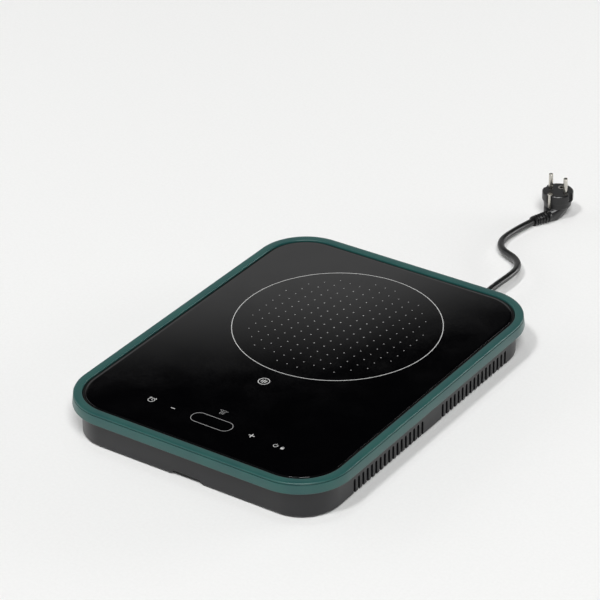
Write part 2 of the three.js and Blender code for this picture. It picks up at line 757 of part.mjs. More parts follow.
const leadStart = wallY + wallInside - grommetFlange - clearance;
const leadLie = floorTop + cordRadius + 1;
const boardEdgeX = powerBoardX + powerBoardWidth / 2;
const innerLead = [
  [cordX, leadStart, cordExitHeight],
  [cordX, leadStart - 14, cordExitHeight],
  [cordX, clampY - 8, cordExitHeight],
  [cordX + 12, clampY - 36, leadLie + 1],
  [cordX + 40, clampY - 66, leadLie],
  [boardEdgeX - 10, zoneY + 20, leadLie],
  [boardEdgeX - 8, zoneY - 40, leadLie],
  [boardEdgeX - 14, boardY + powerBoardDepth / 2 + 24, leadLie + 3],
  [boardEdgeX - 16, boardY + powerBoardDepth / 2 + 6, boardTop + cordRadius + 2],
  [boardEdgeX - 18, boardY + powerBoardDepth / 2 - 10, boardTop + cordRadius + 1],
];
add("inner_lead", tube(innerLead, cordRadius, 8, 22), blackPvc);

// ---- mains cord and plug ----
const cordStart = wallY + grommetLength + clearance;
const reliefSmall = cordRadius + 1.7;
const cordEnd = reliefSmall + 0.2;
const cordRoute = [
  [cordX, cordStart, cordExitHeight],
  [cordX, 240, cordExitHeight],
  [66.7, 253, cordExitHeight],
  [67.1, 263, cordExitHeight],
  [67.6, 273, 13.9],
  [67.9, 283, 13.6],
  [67.4, 292.7, 13.1],
  [65.6, 302, 12.4],
  [61.7, 310.9, 11.6],
  [55.6, 318.7, 10.8],
  [48.3, 325, 10],
  [40.1, 329.4, 9.3],
  [32.2, 333.6, 8.7],
  [25.4, 339.3, 8.1],
  [20, 346.5, 7.6],
  [16.5, 354.7, 7.1],
  [15.1, 363.3, 6.7],
  [15, 372.5, 6.3],
  [15.8, 382.6, 6],
  [17, 392.5, 5.8],
  [18.7, 402.6, cordEnd],
  [20.9, 413, cordEnd],
];
add("mains_cord", tube(cordRoute, cordRadius, cordSides, cordSteps), blackPvc);

const plug = new THREE.Group();
plug.position.set(plugX, plugY, 0);
plug.rotation.z = THREE.MathUtils.degToRad(plugYaw);
cooktop.add(plug);

const reliefHeight = reliefRadius + 0.4;
const noseY = -plugRadius - 1;
const clipHalf = 2.6;
const clipThickness = 1.2;
const clipBottom = 15.5;

function circlePoints(radius, place, sides = 20) {
  const points = [];
  for (let i = 0; i < sides; i++) {
    const angle = (i * 2 * Math.PI) / sides;
    points.push(place(radius * Math.cos(angle), radius * Math.sin(angle)));
  }
  return points;
}

function plugBody() {
  const shoulder = plugHeight - plugRimHeight;
  const upper = turned([
    [0, plugWaist - 0.5],
    [plugRadius - 2.6, plugWaist - 0.5],
    [plugRadius - 2.2, shoulder],
    [plugRadius, shoulder],
    [plugRadius, plugHeight - 1.2],
    [plugRadius - 1.2, plugHeight],
    [0, plugHeight],
  ], 24);
  const waist = circlePoints(plugRadius - 2.6, (x, y) => new THREE.Vector3(x, y, plugWaist));
  const nose = circlePoints(reliefRadius, (x, z) => new THREE.Vector3(x, noseY, reliefHeight + z));
  const keel = [];
  for (const x of [-plugKeel, plugKeel]) {
    keel.push(new THREE.Vector3(x, -12, 0.3), new THREE.Vector3(x, 1, 0.3));
  }
  let body = joined(upper, new ConvexGeometry([...waist, ...nose, ...keel]));
  for (const side of [-1, 1]) {
    const x = (side * pinSpacing) / 2;
    const wall = plugRadius - clipThickness - 2 * clearance - 0.4;
    const outside = plugRadius + 2;
    const y0 = side > 0 ? wall : -outside;
    const half = clipHalf + clearance;
    const slot = block(-half, half, y0, y0 + outside - wall, clipBottom - clearance, plugHeight + 1);
    body = body.subtract(solid(slot));
    body = body.subtract(solid(rod(pinRadius + clearance, plugHeight - pinSocket, plugHeight + 1, x, 0, 16)));
  }
  return geometryOf(body.subtract(solid(rod(2.4, plugHeight - 9, plugHeight + 1, 0, 7.4, 16))));
}

// A spring strip that lies in the side slot of the plug, with its top bent in over the face.
function earthClip() {
  const outside = plugRadius - clearance - 0.3;
  const inside = outside - clipThickness;
  const top = plugHeight + clearance;
  const shape = new THREE.Shape();
  shape.moveTo(outside, clipBottom);
  shape.lineTo(outside, top + clipThickness);
  shape.lineTo(inside - 3, top + clipThickness);
  shape.lineTo(inside - 3, top);
  shape.lineTo(inside, top);
  shape.lineTo(inside, clipBottom);
  shape.closePath();
  const strip = new THREE.ExtrudeGeometry(shape, { depth: 2 * clipHalf, bevelEnabled: false });
  return strip.translate(0, 0, -clipHalf).rotateX(Math.PI / 2).rotateZ(Math.PI / 2);
}

const pinBottom = plugHeight - pinSocket + clearance;
const pinTop = plugHeight + pinLength;
const pinProfile = [
  [0, pinBottom],
  [pinRadius, pinBottom],
  [pinRadius, pinTop - 1.6],
  [pinRadius * 0.7, pinTop - 0.5],
  [0, pinTop],
];
add("plug_body", plugBody(), blackPvc, 0, 0, 0, plug);
add("plug_pin_left", turned(pinProfile, 16), nickel, -pinSpacing / 2, 0, 0, plug);
add("plug_pin_right", turned(pinProfile, 16), nickel, pinSpacing / 2, 0, 0, plug);
add("earth_clip_rear", earthClip(), nickel, 0, 0, 0, plug);
add("earth_clip_front", earthClip(), nickel, 0, 0, 0, plug).rotation.z = Math.PI;

// The tapered relief between cord and plug, a turned cone bent along a curve.
function plugRelief() {
  const turn = new THREE.Matrix4().makeRotationZ(plug.rotation.z).setPosition(plug.position);
  const start = new THREE.Vector3(...cordRoute.at(-1));
  const before = new THREE.Vector3(...cordRoute.at(-2));
  const heading = start.clone().sub(before).normalize();
  start.addScaledVector(heading, clearance);
  const end = new THREE.Vector3(0, noseY - clearance, reliefHeight).applyMatrix4(turn);
  const plugHeading = new THREE.Vector3(0, 1, 0).transformDirection(turn);
  const reach = start.distanceTo(end) / 3;
  const path = new THREE.CubicBezierCurve3(
    start,
    start.clone().addScaledVector(heading, reach),
    end.clone().addScaledVector(plugHeading, -reach),
    end,
  );
  const rings = 6;
  const profile = [[0, 0]];
  for (let i = 0; i <= rings; i++) {
    profile.push([reliefSmall + ((reliefRadius - reliefSmall) * i) / rings, i / rings]);
  }
  profile.push([0, 1]);
  const cone = turned(profile, 16);
  const place = cone.attributes.position;
  const up = new THREE.Vector3(0, 0, 1);
  for (let i = 0; i < place.count; i++) {
    const along = THREE.MathUtils.clamp(place.getZ(i), 0, 1);
    const tangent = path.getTangent(along);
    const side = new THREE.Vector3().crossVectors(tangent, up).normalize();
    const lift = new THREE.Vector3().crossVectors(side, tangent);
    const point = path.getPoint(along);
    point.addScaledVector(side, place.getX(i)).addScaledVector(lift, -place.getY(i));
    place.setXYZ(i, point.x, point.y, point.z);
  }
  return cone;
}
add("plug_relief", plugRelief(), blackPvc);

export default cooktop;
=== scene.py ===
import math
import bmesh
import bpy
from mathutils import Matrix, Vector


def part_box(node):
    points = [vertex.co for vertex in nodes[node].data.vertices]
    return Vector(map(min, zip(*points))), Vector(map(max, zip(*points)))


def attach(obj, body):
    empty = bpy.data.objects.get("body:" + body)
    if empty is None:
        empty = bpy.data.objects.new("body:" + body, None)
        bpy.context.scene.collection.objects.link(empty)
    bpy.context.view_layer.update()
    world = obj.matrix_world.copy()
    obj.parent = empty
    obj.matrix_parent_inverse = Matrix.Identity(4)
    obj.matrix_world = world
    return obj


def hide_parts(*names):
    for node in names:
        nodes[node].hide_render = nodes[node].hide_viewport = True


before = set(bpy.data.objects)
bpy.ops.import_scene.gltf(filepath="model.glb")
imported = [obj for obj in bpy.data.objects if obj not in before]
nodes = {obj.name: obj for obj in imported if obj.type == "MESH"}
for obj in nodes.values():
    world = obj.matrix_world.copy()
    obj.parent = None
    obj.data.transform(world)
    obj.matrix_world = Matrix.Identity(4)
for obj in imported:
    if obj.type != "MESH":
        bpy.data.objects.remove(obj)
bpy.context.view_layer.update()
scene = bpy.context.scene
mm = 0.001  # sizes below are in millimetres unless a note says otherwise
print("frame loaded:", len(nodes), "nodes")


def putInScene(name, data):
    obj = bpy.data.objects.new(name, data)
    scene.collection.objects.link(obj)
    return obj


camera = {
    "place": (1.3212, -1.8985, 1.4358),  # metres
    "azimuth": 34.887,
    "elevation": 29.993,
    "roll": -1.091,
    "lens": 165.1,
}


def placeCamera():
    turn, rise, roll = (math.radians(camera[key]) for key in ("azimuth", "elevation", "roll"))
    right = Vector((math.cos(turn), math.sin(turn), 0))
    back = Vector((math.sin(turn) * math.cos(rise), -math.cos(turn) * math.cos(rise), math.sin(rise)))
    up = back.cross(right)
    tilted = Matrix((
        right * math.cos(roll) + up * math.sin(roll),
        up * math.cos(roll) - right * math.sin(roll),
        back,
    )).transposed().to_4x4()
    data = bpy.data.cameras.new("camera")
    data.lens = camera["lens"]
    data.sensor_width = 36
    data.clip_end = 60
    obj = putInScene("camera", data)
    obj.matrix_world = Matrix.Translation(camera["place"]) @ tilted
    scene.camera = obj


placeCamera()
print("camera placed")


def linear(hexCode):
    # an sRGB hex colour as the linear RGBA that the shaders use
    channels = [int(hexCode[i:i + 2], 16) / 255 for i in (1, 3, 5)]
    return [c / 12.92 if c <= 0.04045 else ((c + 0.055) / 1.055) ** 2.4 for c in channels] + [1]


def addNode(tree, kind, settings=None, inputs=None):
    # one node with its settings, and its inputs as values or as sockets to link
    node = tree.nodes.new(kind)
    for key, value in (settings or {}).items():
        setattr(node, key, value)
    for key, value in (inputs or {}).items():
        if isinstance(value, bpy.types.NodeSocket):
            tree.links.new(value, node.inputs[key])
        else:
            node.inputs[key].default_value = value
    return node


def perMetre(size):
    # texture scale that gives features of this size in millimetres
    return 1000 / size


def startMaterial(name, metallic=0.0, ior=1.5):
    material = bpy.data.materials.new(name)
    material.use_nodes = True
    tree = material.node_tree
    shader = tree.nodes["Principled BSDF"]
    shader.inputs["Metallic"].default_value = metallic
    if not metallic:
        shader.inputs["IOR"].default_value = ior
    place = addNode(tree, "ShaderNodeTexCoord").outputs["Object"]
    return material, tree, shader, place


def noiseAt(tree, place, size, detail=2.0):
    settings = {"Vector": place, "Scale": perMetre(size), "Detail": detail}
    return addNode(tree, "ShaderNodeTexNoise", None, settings).outputs["Fac"]


def colourBetween(tree, factor, low, high, fromLow=0.3, fromHigh=0.7):
    spread = addNode(tree, "ShaderNodeMapRange", None, {
        "Value": factor, "From Min": fromLow, "From Max": fromHigh,
    }).outputs["Result"]
    mix = addNode(tree, "ShaderNodeMix", {"data_type": "RGBA"}, {
        0: spread, 6: linear(low), 7: linear(high),
    })
    return mix.outputs[2]


def valueBetween(tree, factor, low, high, fromLow=0.3, fromHigh=0.7):
    return addNode(tree, "ShaderNodeMapRange", None, {
        "Value": factor, "From Min": fromLow, "From Max": fromHigh, "To Min": low, "To Max": high,
    }).outputs["Result"]


def bumpFrom(tree, shader, height, depth, strength=1.0):
    bump = addNode(tree, "ShaderNodeBump", None, {
        "Height": height, "Distance": depth * mm, "Strength": strength,
    })
    tree.links.new(bump.outputs["Normal"], shader.inputs["Normal"])


def connect(tree, shader, colour, roughness):
    tree.links.new(colour, shader.inputs["Base Color"])
    tree.links.new(roughness, shader.inputs["Roughness"])


mouldings = {
    "bezelGrain": 0.55,
    "bezelDepth": 0.012,
    "housingGrain": 0.7,
    "housingDepth": 0.03,
    "mottle": 26,  # width of the slow changes in gloss that a large moulding shows
}


def mouldedPlastic(name, low, high, smooth, rough, grain, depth, ior=1.5):
    # fine grain from the mould's texture, and slow changes of gloss across the moulding
    material, tree, shader, place = startMaterial(name, ior=ior)
    fine = noiseAt(tree, place, grain, 3.0)
    slow = noiseAt(tree, place, mouldings["mottle"], 1.0)
    blend = addNode(tree, "ShaderNodeMath", {"operation": "MULTIPLY_ADD"}, {0: fine, 1: 0.5, 2: 0}).outputs[0]
    both = addNode(tree, "ShaderNodeMath", {"operation": "MULTIPLY_ADD"}, {
        0: slow, 1: 0.5, 2: blend,
    }).outputs[0]
    connect(tree, shader, colourBetween(tree, both, low, high), valueBetween(tree, both, smooth, rough))
    bumpFrom(tree, shader, fine, depth)
    return material


# ABS moulded in a satin mould: an even teal with a soft sheen
tealAbs = mouldedPlastic(
    "mouldedTealAbs", "#1a4646", "#21554f", 0.3, 0.42,
    mouldings["bezelGrain"], mouldings["bezelDepth"], 1.54)
# polypropylene with a spark-eroded grain: dull dark grey, speckled where light grazes it
greyPolypropylene = mouldedPlastic(
    "grainedGreyPolypropylene", "#101012", "#1b1b1e", 0.3, 0.44,
    mouldings["housingGrain"], mouldings["housingDepth"], 1.49)
# silicone seal: matt black, slightly dusty
siliconeSeal = mouldedPlastic("mouldedSilicone", "#020202", "#060606", 0.75, 0.9, 0.5, 0.01, 1.41)
# moulded rubber feet: matt, a little paler where they rub
footRubber = mouldedPlastic("mouldedRubber", "#131314", "#222223", 0.7, 0.9, 0.4, 0.03, 1.52)
# soft PVC over the cord, grommet and plug: satin black with a faint extruded grain
cordPvc = mouldedPlastic("extrudedBlackPvc", "#060607", "#0f0f10", 0.28, 0.42, 0.6, 0.02, 1.53)
plugPvc = mouldedPlastic("mouldedBlackPvc", "#09090a", "#131315", 0.28, 0.42, 0.5, 0.03, 1.53)
# glass-filled nylon under the coil: tan-grey with short fibres near the skin
carrierNylon = mouldedPlastic("glassFilledNylon", "#7c766b", "#96907f", 0.5, 0.7, 0.9, 0.03, 1.53)
# PBT fan: satin black
fanPbt = mouldedPlastic("mouldedPbt", "#121213", "#1d1d1f", 0.35, 0.5, 0.5, 0.015, 1.55)
# epoxy-moulded devices: dull black with a fine grain
deviceEpoxy = mouldedPlastic("mouldedEpoxy", "#19191b", "#29292b", 0.45, 0.65, 0.3, 0.02, 1.55)
# polyester film box: yellow, glossy, slightly uneven
capacitorFilm = mouldedPlastic("pottedPolyester", "#b98b22", "#cfa53a", 0.25, 0.4, 1.2, 0.02, 1.57)


def glassCeramic():
    # rolled and polished glass ceramic: deep black, mirror gloss, very faint waves and wipe marks
    material, tree, shader, place = startMaterial("polishedGlassCeramic", ior=1.53)
    wipe = noiseAt(tree, place, 38, 2.0)
    haze = noiseAt(tree, place, 1.4, 2.0)
    mixed = addNode(tree, "ShaderNodeMath", {"operation": "MULTIPLY"}, {0: wipe, 1: haze}).outputs[0]
    connect(tree, shader, colourBetween(tree, haze, "#020203", "#040405"),
            valueBetween(tree, mixed, 0.03, 0.075, 0.15, 0.4))
    bumpFrom(tree, shader, wipe, 0.004)
    return material


def ceramicInk(name, low, high):
    # screen-printed ceramic ink fired into the glass: flat, with the mesh's fine speckle
    material, tree, shader, place = startMaterial(name, ior=1.5)
    mesh = addNode(tree, "ShaderNodeTexVoronoi", None, {"Vector": place, "Scale": perMetre(0.22)})
    speckle = mesh.outputs["Distance"]
    connect(tree, shader, colourBetween(tree, speckle, high, low, 0.1, 0.7),
            valueBetween(tree, speckle, 0.35, 0.55, 0.1, 0.7))
    bumpFrom(tree, shader, speckle, 0.004)
    return material


def platedMetal(name, low, high, smooth, rough, streak, depth):
    # plating over a drawn or turned part: streaks along Z, cloudy stains
    material, tree, shader, place = startMaterial(name, metallic=1.0)
    stretched = addNode(tree, "ShaderNodeMapping", None, {"Vector": place, "Scale": (1, 1, 0.06)})
    lines = noiseAt(tree, stretched.outputs["Vector"], streak, 3.0)
    cloud = noiseAt(tree, place, 5, 2.0)
    mixed = addNode(tree, "ShaderNodeMath", {"operation": "MULTIPLY_ADD"}, {
        0: lines, 1: 0.6, 2: 0,
    }).outputs[0]
    both = addNode(tree, "ShaderNodeMath", {"operation": "MULTIPLY_ADD"}, {
        0: cloud, 1: 0.4, 2: mixed,
    }).outputs[0]
    connect(tree, shader, colourBetween(tree, both, low, high), valueBetween(tree, both, smooth, rough))
    bumpFrom(tree, shader, lines, depth)
    return material


def woundCopper():
    # enamelled stranded copper laid in a flat spiral: amber rings with twisted strands
    material, tree, shader, place = startMaterial("enamelledCopper", metallic=1.0)
    zone = addNode(tree, "ShaderNodeMapping", None, {"Vector": place, "Location": (0, -0.0606, 0)})
    rings = addNode(tree, "ShaderNodeTexWave", {"wave_type": "RINGS", "rings_direction": "Z"}, {
        "Vector": zone.outputs["Vector"], "Scale": perMetre(3) / 6.283, "Distortion": 0.4, "Detail": 2.0,
    }).outputs["Fac"]
    connect(tree, shader, colourBetween(tree, rings, "#6b3517", "#c4743c"),
            valueBetween(tree, rings, 0.25, 0.5))
    bumpFrom(tree, shader, rings, 0.4)
    return material


def pressedMica():
    # pressed mica paper: straw yellow flakes with a pearly gloss
    material, tree, shader, place = startMaterial("pressedMica", ior=1.58)
    flakes = addNode(tree, "ShaderNodeTexVoronoi", None, {
        "Vector": place, "Scale": perMetre(2.5),
    }).outputs["Distance"]
    connect(tree, shader, colourBetween(tree, flakes, "#b7a573", "#d4c697", 0.0, 0.8),
            valueBetween(tree, flakes, 0.3, 0.6, 0.0, 0.8))
    bumpFrom(tree, shader, flakes, 0.03)
    return material


def sinteredFerrite():
    # sintered ferrite: charcoal ceramic with small pits
    material, tree, shader, place = startMaterial("sinteredFerrite", ior=2.2)
    pits = noiseAt(tree, place, 0.8, 4.0)
    connect(tree, shader, colourBetween(tree, pits, "#1f1f22", "#37373a"),
            valueBetween(tree, pits, 0.45, 0.75))
    bumpFrom(tree, shader, pits, 0.05)
    return material


def etchedBoard():
    # epoxy-glass board under green solder mask, with copper tracks showing as a lighter net
    material, tree, shader, place = startMaterial("solderMaskedBoard", ior=1.55)
    tracks = addNode(tree, "ShaderNodeTexVoronoi", {"distance": "MANHATTAN"}, {
        "Vector": place, "Scale": perMetre(6), "Randomness": 0.6,
    }).outputs["Distance"]
    connect(tree, shader, colourBetween(tree, tracks, "#164a2a", "#2a6b40", 0.45, 0.55),
            valueBetween(tree, tracks, 0.3, 0.45, 0.45, 0.55))
    bumpFrom(tree, shader, tracks, 0.03)
    return material


def studioPaper():
    # matt painted sweep under the object: even off-white with the roller's faint grain
    material, tree, shader, place = startMaterial("rolledMattPaint", ior=1.4)
    grain = noiseAt(tree, place, 3, 2.0)
    connect(tree, shader, colourBetween(tree, grain, "#efefee", "#f2f2f1"),
            valueBetween(tree, grain, 0.8, 0.95))
    shader.inputs["Specular IOR Level"].default_value = 0.2
    return material


blackGlass = glassCeramic()
paleInk = ceramicInk("firedPaleInk", "#b9b9b8", "#dededc")
greyInk = ceramicInk("firedGreyInk", "#8d8d8d", "#a9a9a8")
nickelBrass = platedMetal("nickelPlatedBrass", "#b8b4ab", "#dedbd4", 0.16, 0.3, 0.5, 0.008)
zincSteel = platedMetal("zincPlatedSteel", "#8f9296", "#b4b6b8", 0.28, 0.45, 0.5, 0.01)
drawnAluminium = platedMetal("extrudedAluminium", "#a9acb0", "#c6c8cb", 0.3, 0.45, 0.6, 0.015)
copperWire = woundCopper()
micaPaper = pressedMica()
ferriteGrey = sinteredFerrite()
boardGreen = etchedBoard()
paper = studioPaper()
print("materials made:", len(bpy.data.materials))


studio = {
    "floorSize": 30,  # metres
    "floorLevel": -0.0002,  # metres, just under the feet
    "above": {"place": (-1.3, -0.3, 9.9), "size": (1.7, 1.7), "power": 60},
    "front": {"place": (-0.5, -9.3, 15.5), "size": (2.25, 2.25), "power": 1120},
    "side": {"place": (7.6, -8.3, 14), "size": (5.4, 5.4), "power": 2050},
    "left": {"place": (-1.9, -0.5, 0.75), "size": (1.4, 0.9), "power": 4},
    "right": {"place": (1.6, 2.2, 0.45), "size": (1.6, 0.7), "power": 25},
    "sweep": 0.55,  # brightness of the pale sweep that the glass mirrors
    "sweepEdge": (0.491, 0.525),  # sine of the height where the sweep fades to dark
    "dome": 0.1,  # brightness of the diffuser overhead
    "domeEdge": (0.6, 0.74),
    "sweepDip": (0.48, 0.35),  # where the sweep starts to stand lower behind the cord, and how fast
    "backdrop": 0.88,  # brightness seen past the floor
}


def layFloor():
    half, level = studio["floorSize"] / 2, studio["floorLevel"]
    corners = [(x * half, y * half, level) for x, y in ((-1, -1), (1, -1), (1, 1), (-1, 1))]
    data = bpy.data.meshes.new("floor")
    data.from_pydata(corners, [], [(0, 1, 2, 3)])
    data.materials.append(paper)
    obj = putInScene("floor", data)


def hangLight(name):
    values = studio[name]
    data = bpy.data.lights.new(name, "AREA")
    data.shape = "RECTANGLE"
    data.size, data.size_y = values["size"]
    data.energy = values["power"]
    obj = putInScene(name, data)
    place = Vector(values["place"])
    aim = Vector((0, 0.05, 0.02)) - place
    obj.rotation_euler = aim.to_track_quat("-Z", "Y").to_euler()
    obj.location = place


def paintSurroundings():
    # a pale sweep low down, dark above it, and a soft diffuser overhead
    world = bpy.data.worlds.new("studio")
    scene.world = world
    world.use_nodes = True
    tree = world.node_tree
    direction = addNode(tree, "ShaderNodeTexCoord").outputs["Generated"]
    parts = addNode(tree, "ShaderNodeSeparateXYZ", None, {"Vector": direction}).outputs
    low, high = studio["sweepEdge"]
    dipFrom, dipRate = studio["sweepDip"]
    shift = addNode(tree, "ShaderNodeMath", {"operation": "ADD"}, {0: parts["X"], 1: dipFrom}).outputs[0]
    beyond = addNode(tree, "ShaderNodeMath", {"operation": "MAXIMUM"}, {0: shift, 1: 0.0}).outputs[0]
    height = addNode(tree, "ShaderNodeMath", {"operation": "MULTIPLY_ADD"}, {
        0: beyond, 1: dipRate, 2: parts["Z"],
    }).outputs[0]
    sweep = addNode(tree, "ShaderNodeMapRange", {"interpolation_type": "SMOOTHSTEP"}, {
        "Value": height, "From Min": low, "From Max": high, "To Min": studio["sweep"], "To Max": 0.0,
    }).outputs["Result"]
    low, high = studio["domeEdge"]
    dome = addNode(tree, "ShaderNodeMapRange", {"interpolation_type": "SMOOTHSTEP"}, {
        "Value": parts["Z"], "From Min": low, "From Max": high, "To Min": 0.0, "To Max": studio["dome"],
    }).outputs["Result"]
    fade = addNode(tree, "ShaderNodeMath", {"operation": "ADD"}, {0: sweep, 1: dome}).outputs[0]
    seen = addNode(tree, "ShaderNodeLightPath").outputs["Is Camera Ray"]
    level = addNode(tree, "ShaderNodeMix", {"data_type": "FLOAT"}, {
        0: seen, 2: fade, 3: studio["backdrop"],
    }).outputs[0]
    tree.links.new(level, tree.nodes["Background"].inputs["Strength"])
    tree.nodes["Background"].inputs["Color"].default_value = (1, 1, 1, 1)
    scene.view_settings.view_transform = "Standard"


layFloor()
for lightName in ("above", "left", "right", "front", "side"):
    hangLight(lightName)
paintSurroundings()
print("studio ready")


def makePiece(name, points, faces, material, sharpAngle=32):
    # points in millimetres; faces point outwards; edges sharper than the angle stay crisp
    data = bpy.data.meshes.new(name)
    data.from_pydata([Vector(p) * mm for p in points], [], faces)
    obj = putInScene(name, data)
    data.materials.append(material)
    closeUp(obj)
    crisp(obj, sharpAngle)
    return obj


def closeUp(obj):
    # merge doubles and turn every face outwards
    work = bmesh.new()
    work.from_mesh(obj.data)
    bmesh.ops.remove_doubles(work, verts=work.verts, dist=1e-6)
    bmesh.ops.recalc_face_normals(work, faces=work.faces)
    work.to_mesh(obj.data)
    work.free()


def crisp(obj, sharpAngle=32):
    obj.data.shade_smooth()
    obj.data.set_sharp_from_angle(angle=math.radians(sharpAngle))


def settle(obj, sharpAngle=None):
    # the evaluated shape becomes the piece's own mesh
    graph = bpy.context.evaluated_depsgraph_get()
    data = bpy.data.meshes.new_from_object(obj.evaluated_get(graph), depsgraph=graph)
    obj.modifiers.clear()
    obj.data = data
    if sharpAngle is not None:
        crisp(obj, sharpAngle)
    return obj


def discard(*objects):
    for obj in objects:
        bpy.data.objects.remove(obj, do_unlink=True)


def roundedLoop(halfX, halfY, radius, steps):
    # points and outward normals round a rounded rectangle, anticlockwise from the right side
    loop = []
    for quarter, (sx, sy) in enumerate(((1, 1), (-1, 1), (-1, -1), (1, -1))):
        for i in range(steps + 1):
            angle = math.pi / 2 * (quarter + i / steps)
            normal = Vector((math.cos(angle), math.sin(angle)))
            centre = Vector((sx * (halfX - radius), sy * (halfY - radius)))
            loop.append((centre + normal * radius, normal))
    return loop


def sweptRing(name, profile, halfX, halfY, radius, material, steps=28):
    # a closed section of [distance outside the outline, height] carried round the outline
    loop = roundedLoop(halfX, halfY, radius, steps)
    points = [(*(at + normal * out), z) for at, normal in loop for out, z in profile]
    count, total = len(profile), len(loop)
    faces = []
    for i in range(total):
        for j in range(count):
            a, b = i * count + j, i * count + (j + 1) % count
            c, d = (i + 1) % total * count + (j + 1) % count, (i + 1) % total * count + j
            faces.append((a, d, c, b))
    return makePiece(name, points, faces, material)


def stackedPlate(name, levels, halfX, halfY, radius, material, steps=28):
    # loops of [distance outside the outline, height] joined in order, with both ends closed
    loop = roundedLoop(halfX, halfY, radius, steps)
    total = len(loop)
    points = [(*(at + normal * out), z) for out, z in levels for at, normal in loop]
    faces = [tuple(reversed(range(total)))]
    for i in range(len(levels) - 1):
        for j in range(total):
            k = (j + 1) % total
            faces.append((i * total + j, i * total + k, (i + 1) * total + k, (i + 1) * total + j))
    faces.append(tuple(range((len(levels) - 1) * total, len(levels) * total)))
    return makePiece(name, points, faces, material)


def circle(radius, steps=48):
    turns = [2 * math.pi * i / steps for i in range(steps)]
    return [(radius * math.cos(turn), radius * math.sin(turn)) for turn in turns]


def turnedPiece(name, profile, material, steps=32, place=(0, 0, 0), sharpAngle=32):
    # a profile of [radius, height] turned about Z, closed where it meets the axis
    points, faces, rings = [], [], []
    for radius, z in profile:
        if radius == 0:
            rings.append([len(points)])
            points.append((0, 0, z))
        else:
            rings.append(list(range(len(points), len(points) + steps)))
            points += [(x, y, z) for x, y in circle(radius, steps)]
    for lower, upper in zip(rings, rings[1:]):
        for i in range(steps):
            j = (i + 1) % steps
            below = [lower[i % len(lower)], lower[j % len(lower)]]
            above = [upper[j % len(upper)], upper[i % len(upper)]]
            face = tuple(dict.fromkeys(below + above))
            if len(face) > 2:
                faces.append(face)
    moved = [Vector(p) + Vector(place) for p in points]
    return makePiece(name, moved, faces, material, sharpAngle)


def blockPiece(name, low, high, material):
    points = [(x, y, z) for x in (low[0], high[0]) for y in (low[1], high[1]) for z in (low[2], high[2])]
    faces = [(0, 1, 3, 2), (4, 6, 7, 5), (0, 4, 5, 1), (2, 3, 7, 6), (0, 2, 6, 4), (1, 5, 7, 3)]
    return makePiece(name, points, faces, material)


def prism(name, outline, z0, z1, material):
    # an outline of flat points raised from z0 to z1
    total = len(outline)
    points = [(x, y, z) for z in (z0, z1) for x, y in outline]
    faces = [tuple(reversed(range(total))), tuple(range(total, 2 * total))]
    for i in range(total):
        j = (i + 1) % total
        faces.append((i, j, total + j, total + i))
    return makePiece(name, points, faces, material)


def turnMesh(obj, matrix):
    obj.data.transform(matrix)
    return obj


def weld(name, objects):
    # several closed shapes kept as one mesh, not cut into each other
    work = bmesh.new()
    for obj in objects:
        work.from_mesh(obj.data)
    data = bpy.data.meshes.new(name)
    work.to_mesh(data)
    work.free()
    for material in objects[0].data.materials:
        data.materials.append(material)
    result = putInScene(name, data)
    discard(*objects)
    return result


def carve(obj, tool, operation="DIFFERENCE", sharpAngle=32):
    cut = obj.modifiers.new("carve", "BOOLEAN")
    cut.solver = "MANIFOLD"
    cut.operation = operation
    cut.object = tool
    settle(obj, sharpAngle)
    discard(tool)
    return obj


def startTree(name, inputs):
    tree = bpy.data.node_groups.new(name, "GeometryNodeTree")
    tree.interface.new_socket("Geometry", in_out="INPUT", socket_type="NodeSocketGeometry")
    for label, kind in inputs:
        tree.interface.new_socket(label, in_out="INPUT", socket_type="NodeSocket" + kind)
    tree.interface.new_socket("Geometry", in_out="OUTPUT", socket_type="NodeSocketGeometry")
    return tree, tree.nodes.new("NodeGroupInput").outputs


def endTree(tree, geometry, material):
    real = addNode(tree, "GeometryNodeRealizeInstances", None, {"Geometry": geometry}).outputs[0]
    coated = addNode(tree, "GeometryNodeSetMaterial", None, {
        "Geometry": real, "Material": material,
    }).outputs[0]
    addNode(tree, "NodeGroupOutput", None, {"Geometry": coated})


def grow(obj, tree, values, sharpAngle=32):
    # run the tree on the object and keep the plain mesh that it gives
    modifier = obj.modifiers.new(tree.name, "NODES")
    modifier.node_group = tree
    sockets = {item.name: item.identifier for item in tree.interface.items_tree
               if item.item_type == "SOCKET" and item.in_out == "INPUT"}
    for label, value in values.items():
        modifier[sockets[label]] = value
    return settle(obj, sharpAngle)


def copiesTree():
    # one copy of an item on every point
    inputs = [("Item", "Object"), ("Size", "Float"), ("Material", "Material")]
    tree, source = startTree("copiesOnPoints", inputs)
    item = addNode(tree, "GeometryNodeObjectInfo", None, {"Object": source["Item"]}).outputs["Geometry"]
    copies = addNode(tree, "GeometryNodeInstanceOnPoints", None, {
        "Points": source["Geometry"], "Instance": item, "Scale": source["Size"],
    }).outputs[0]
    endTree(tree, copies, source["Material"])
    return tree


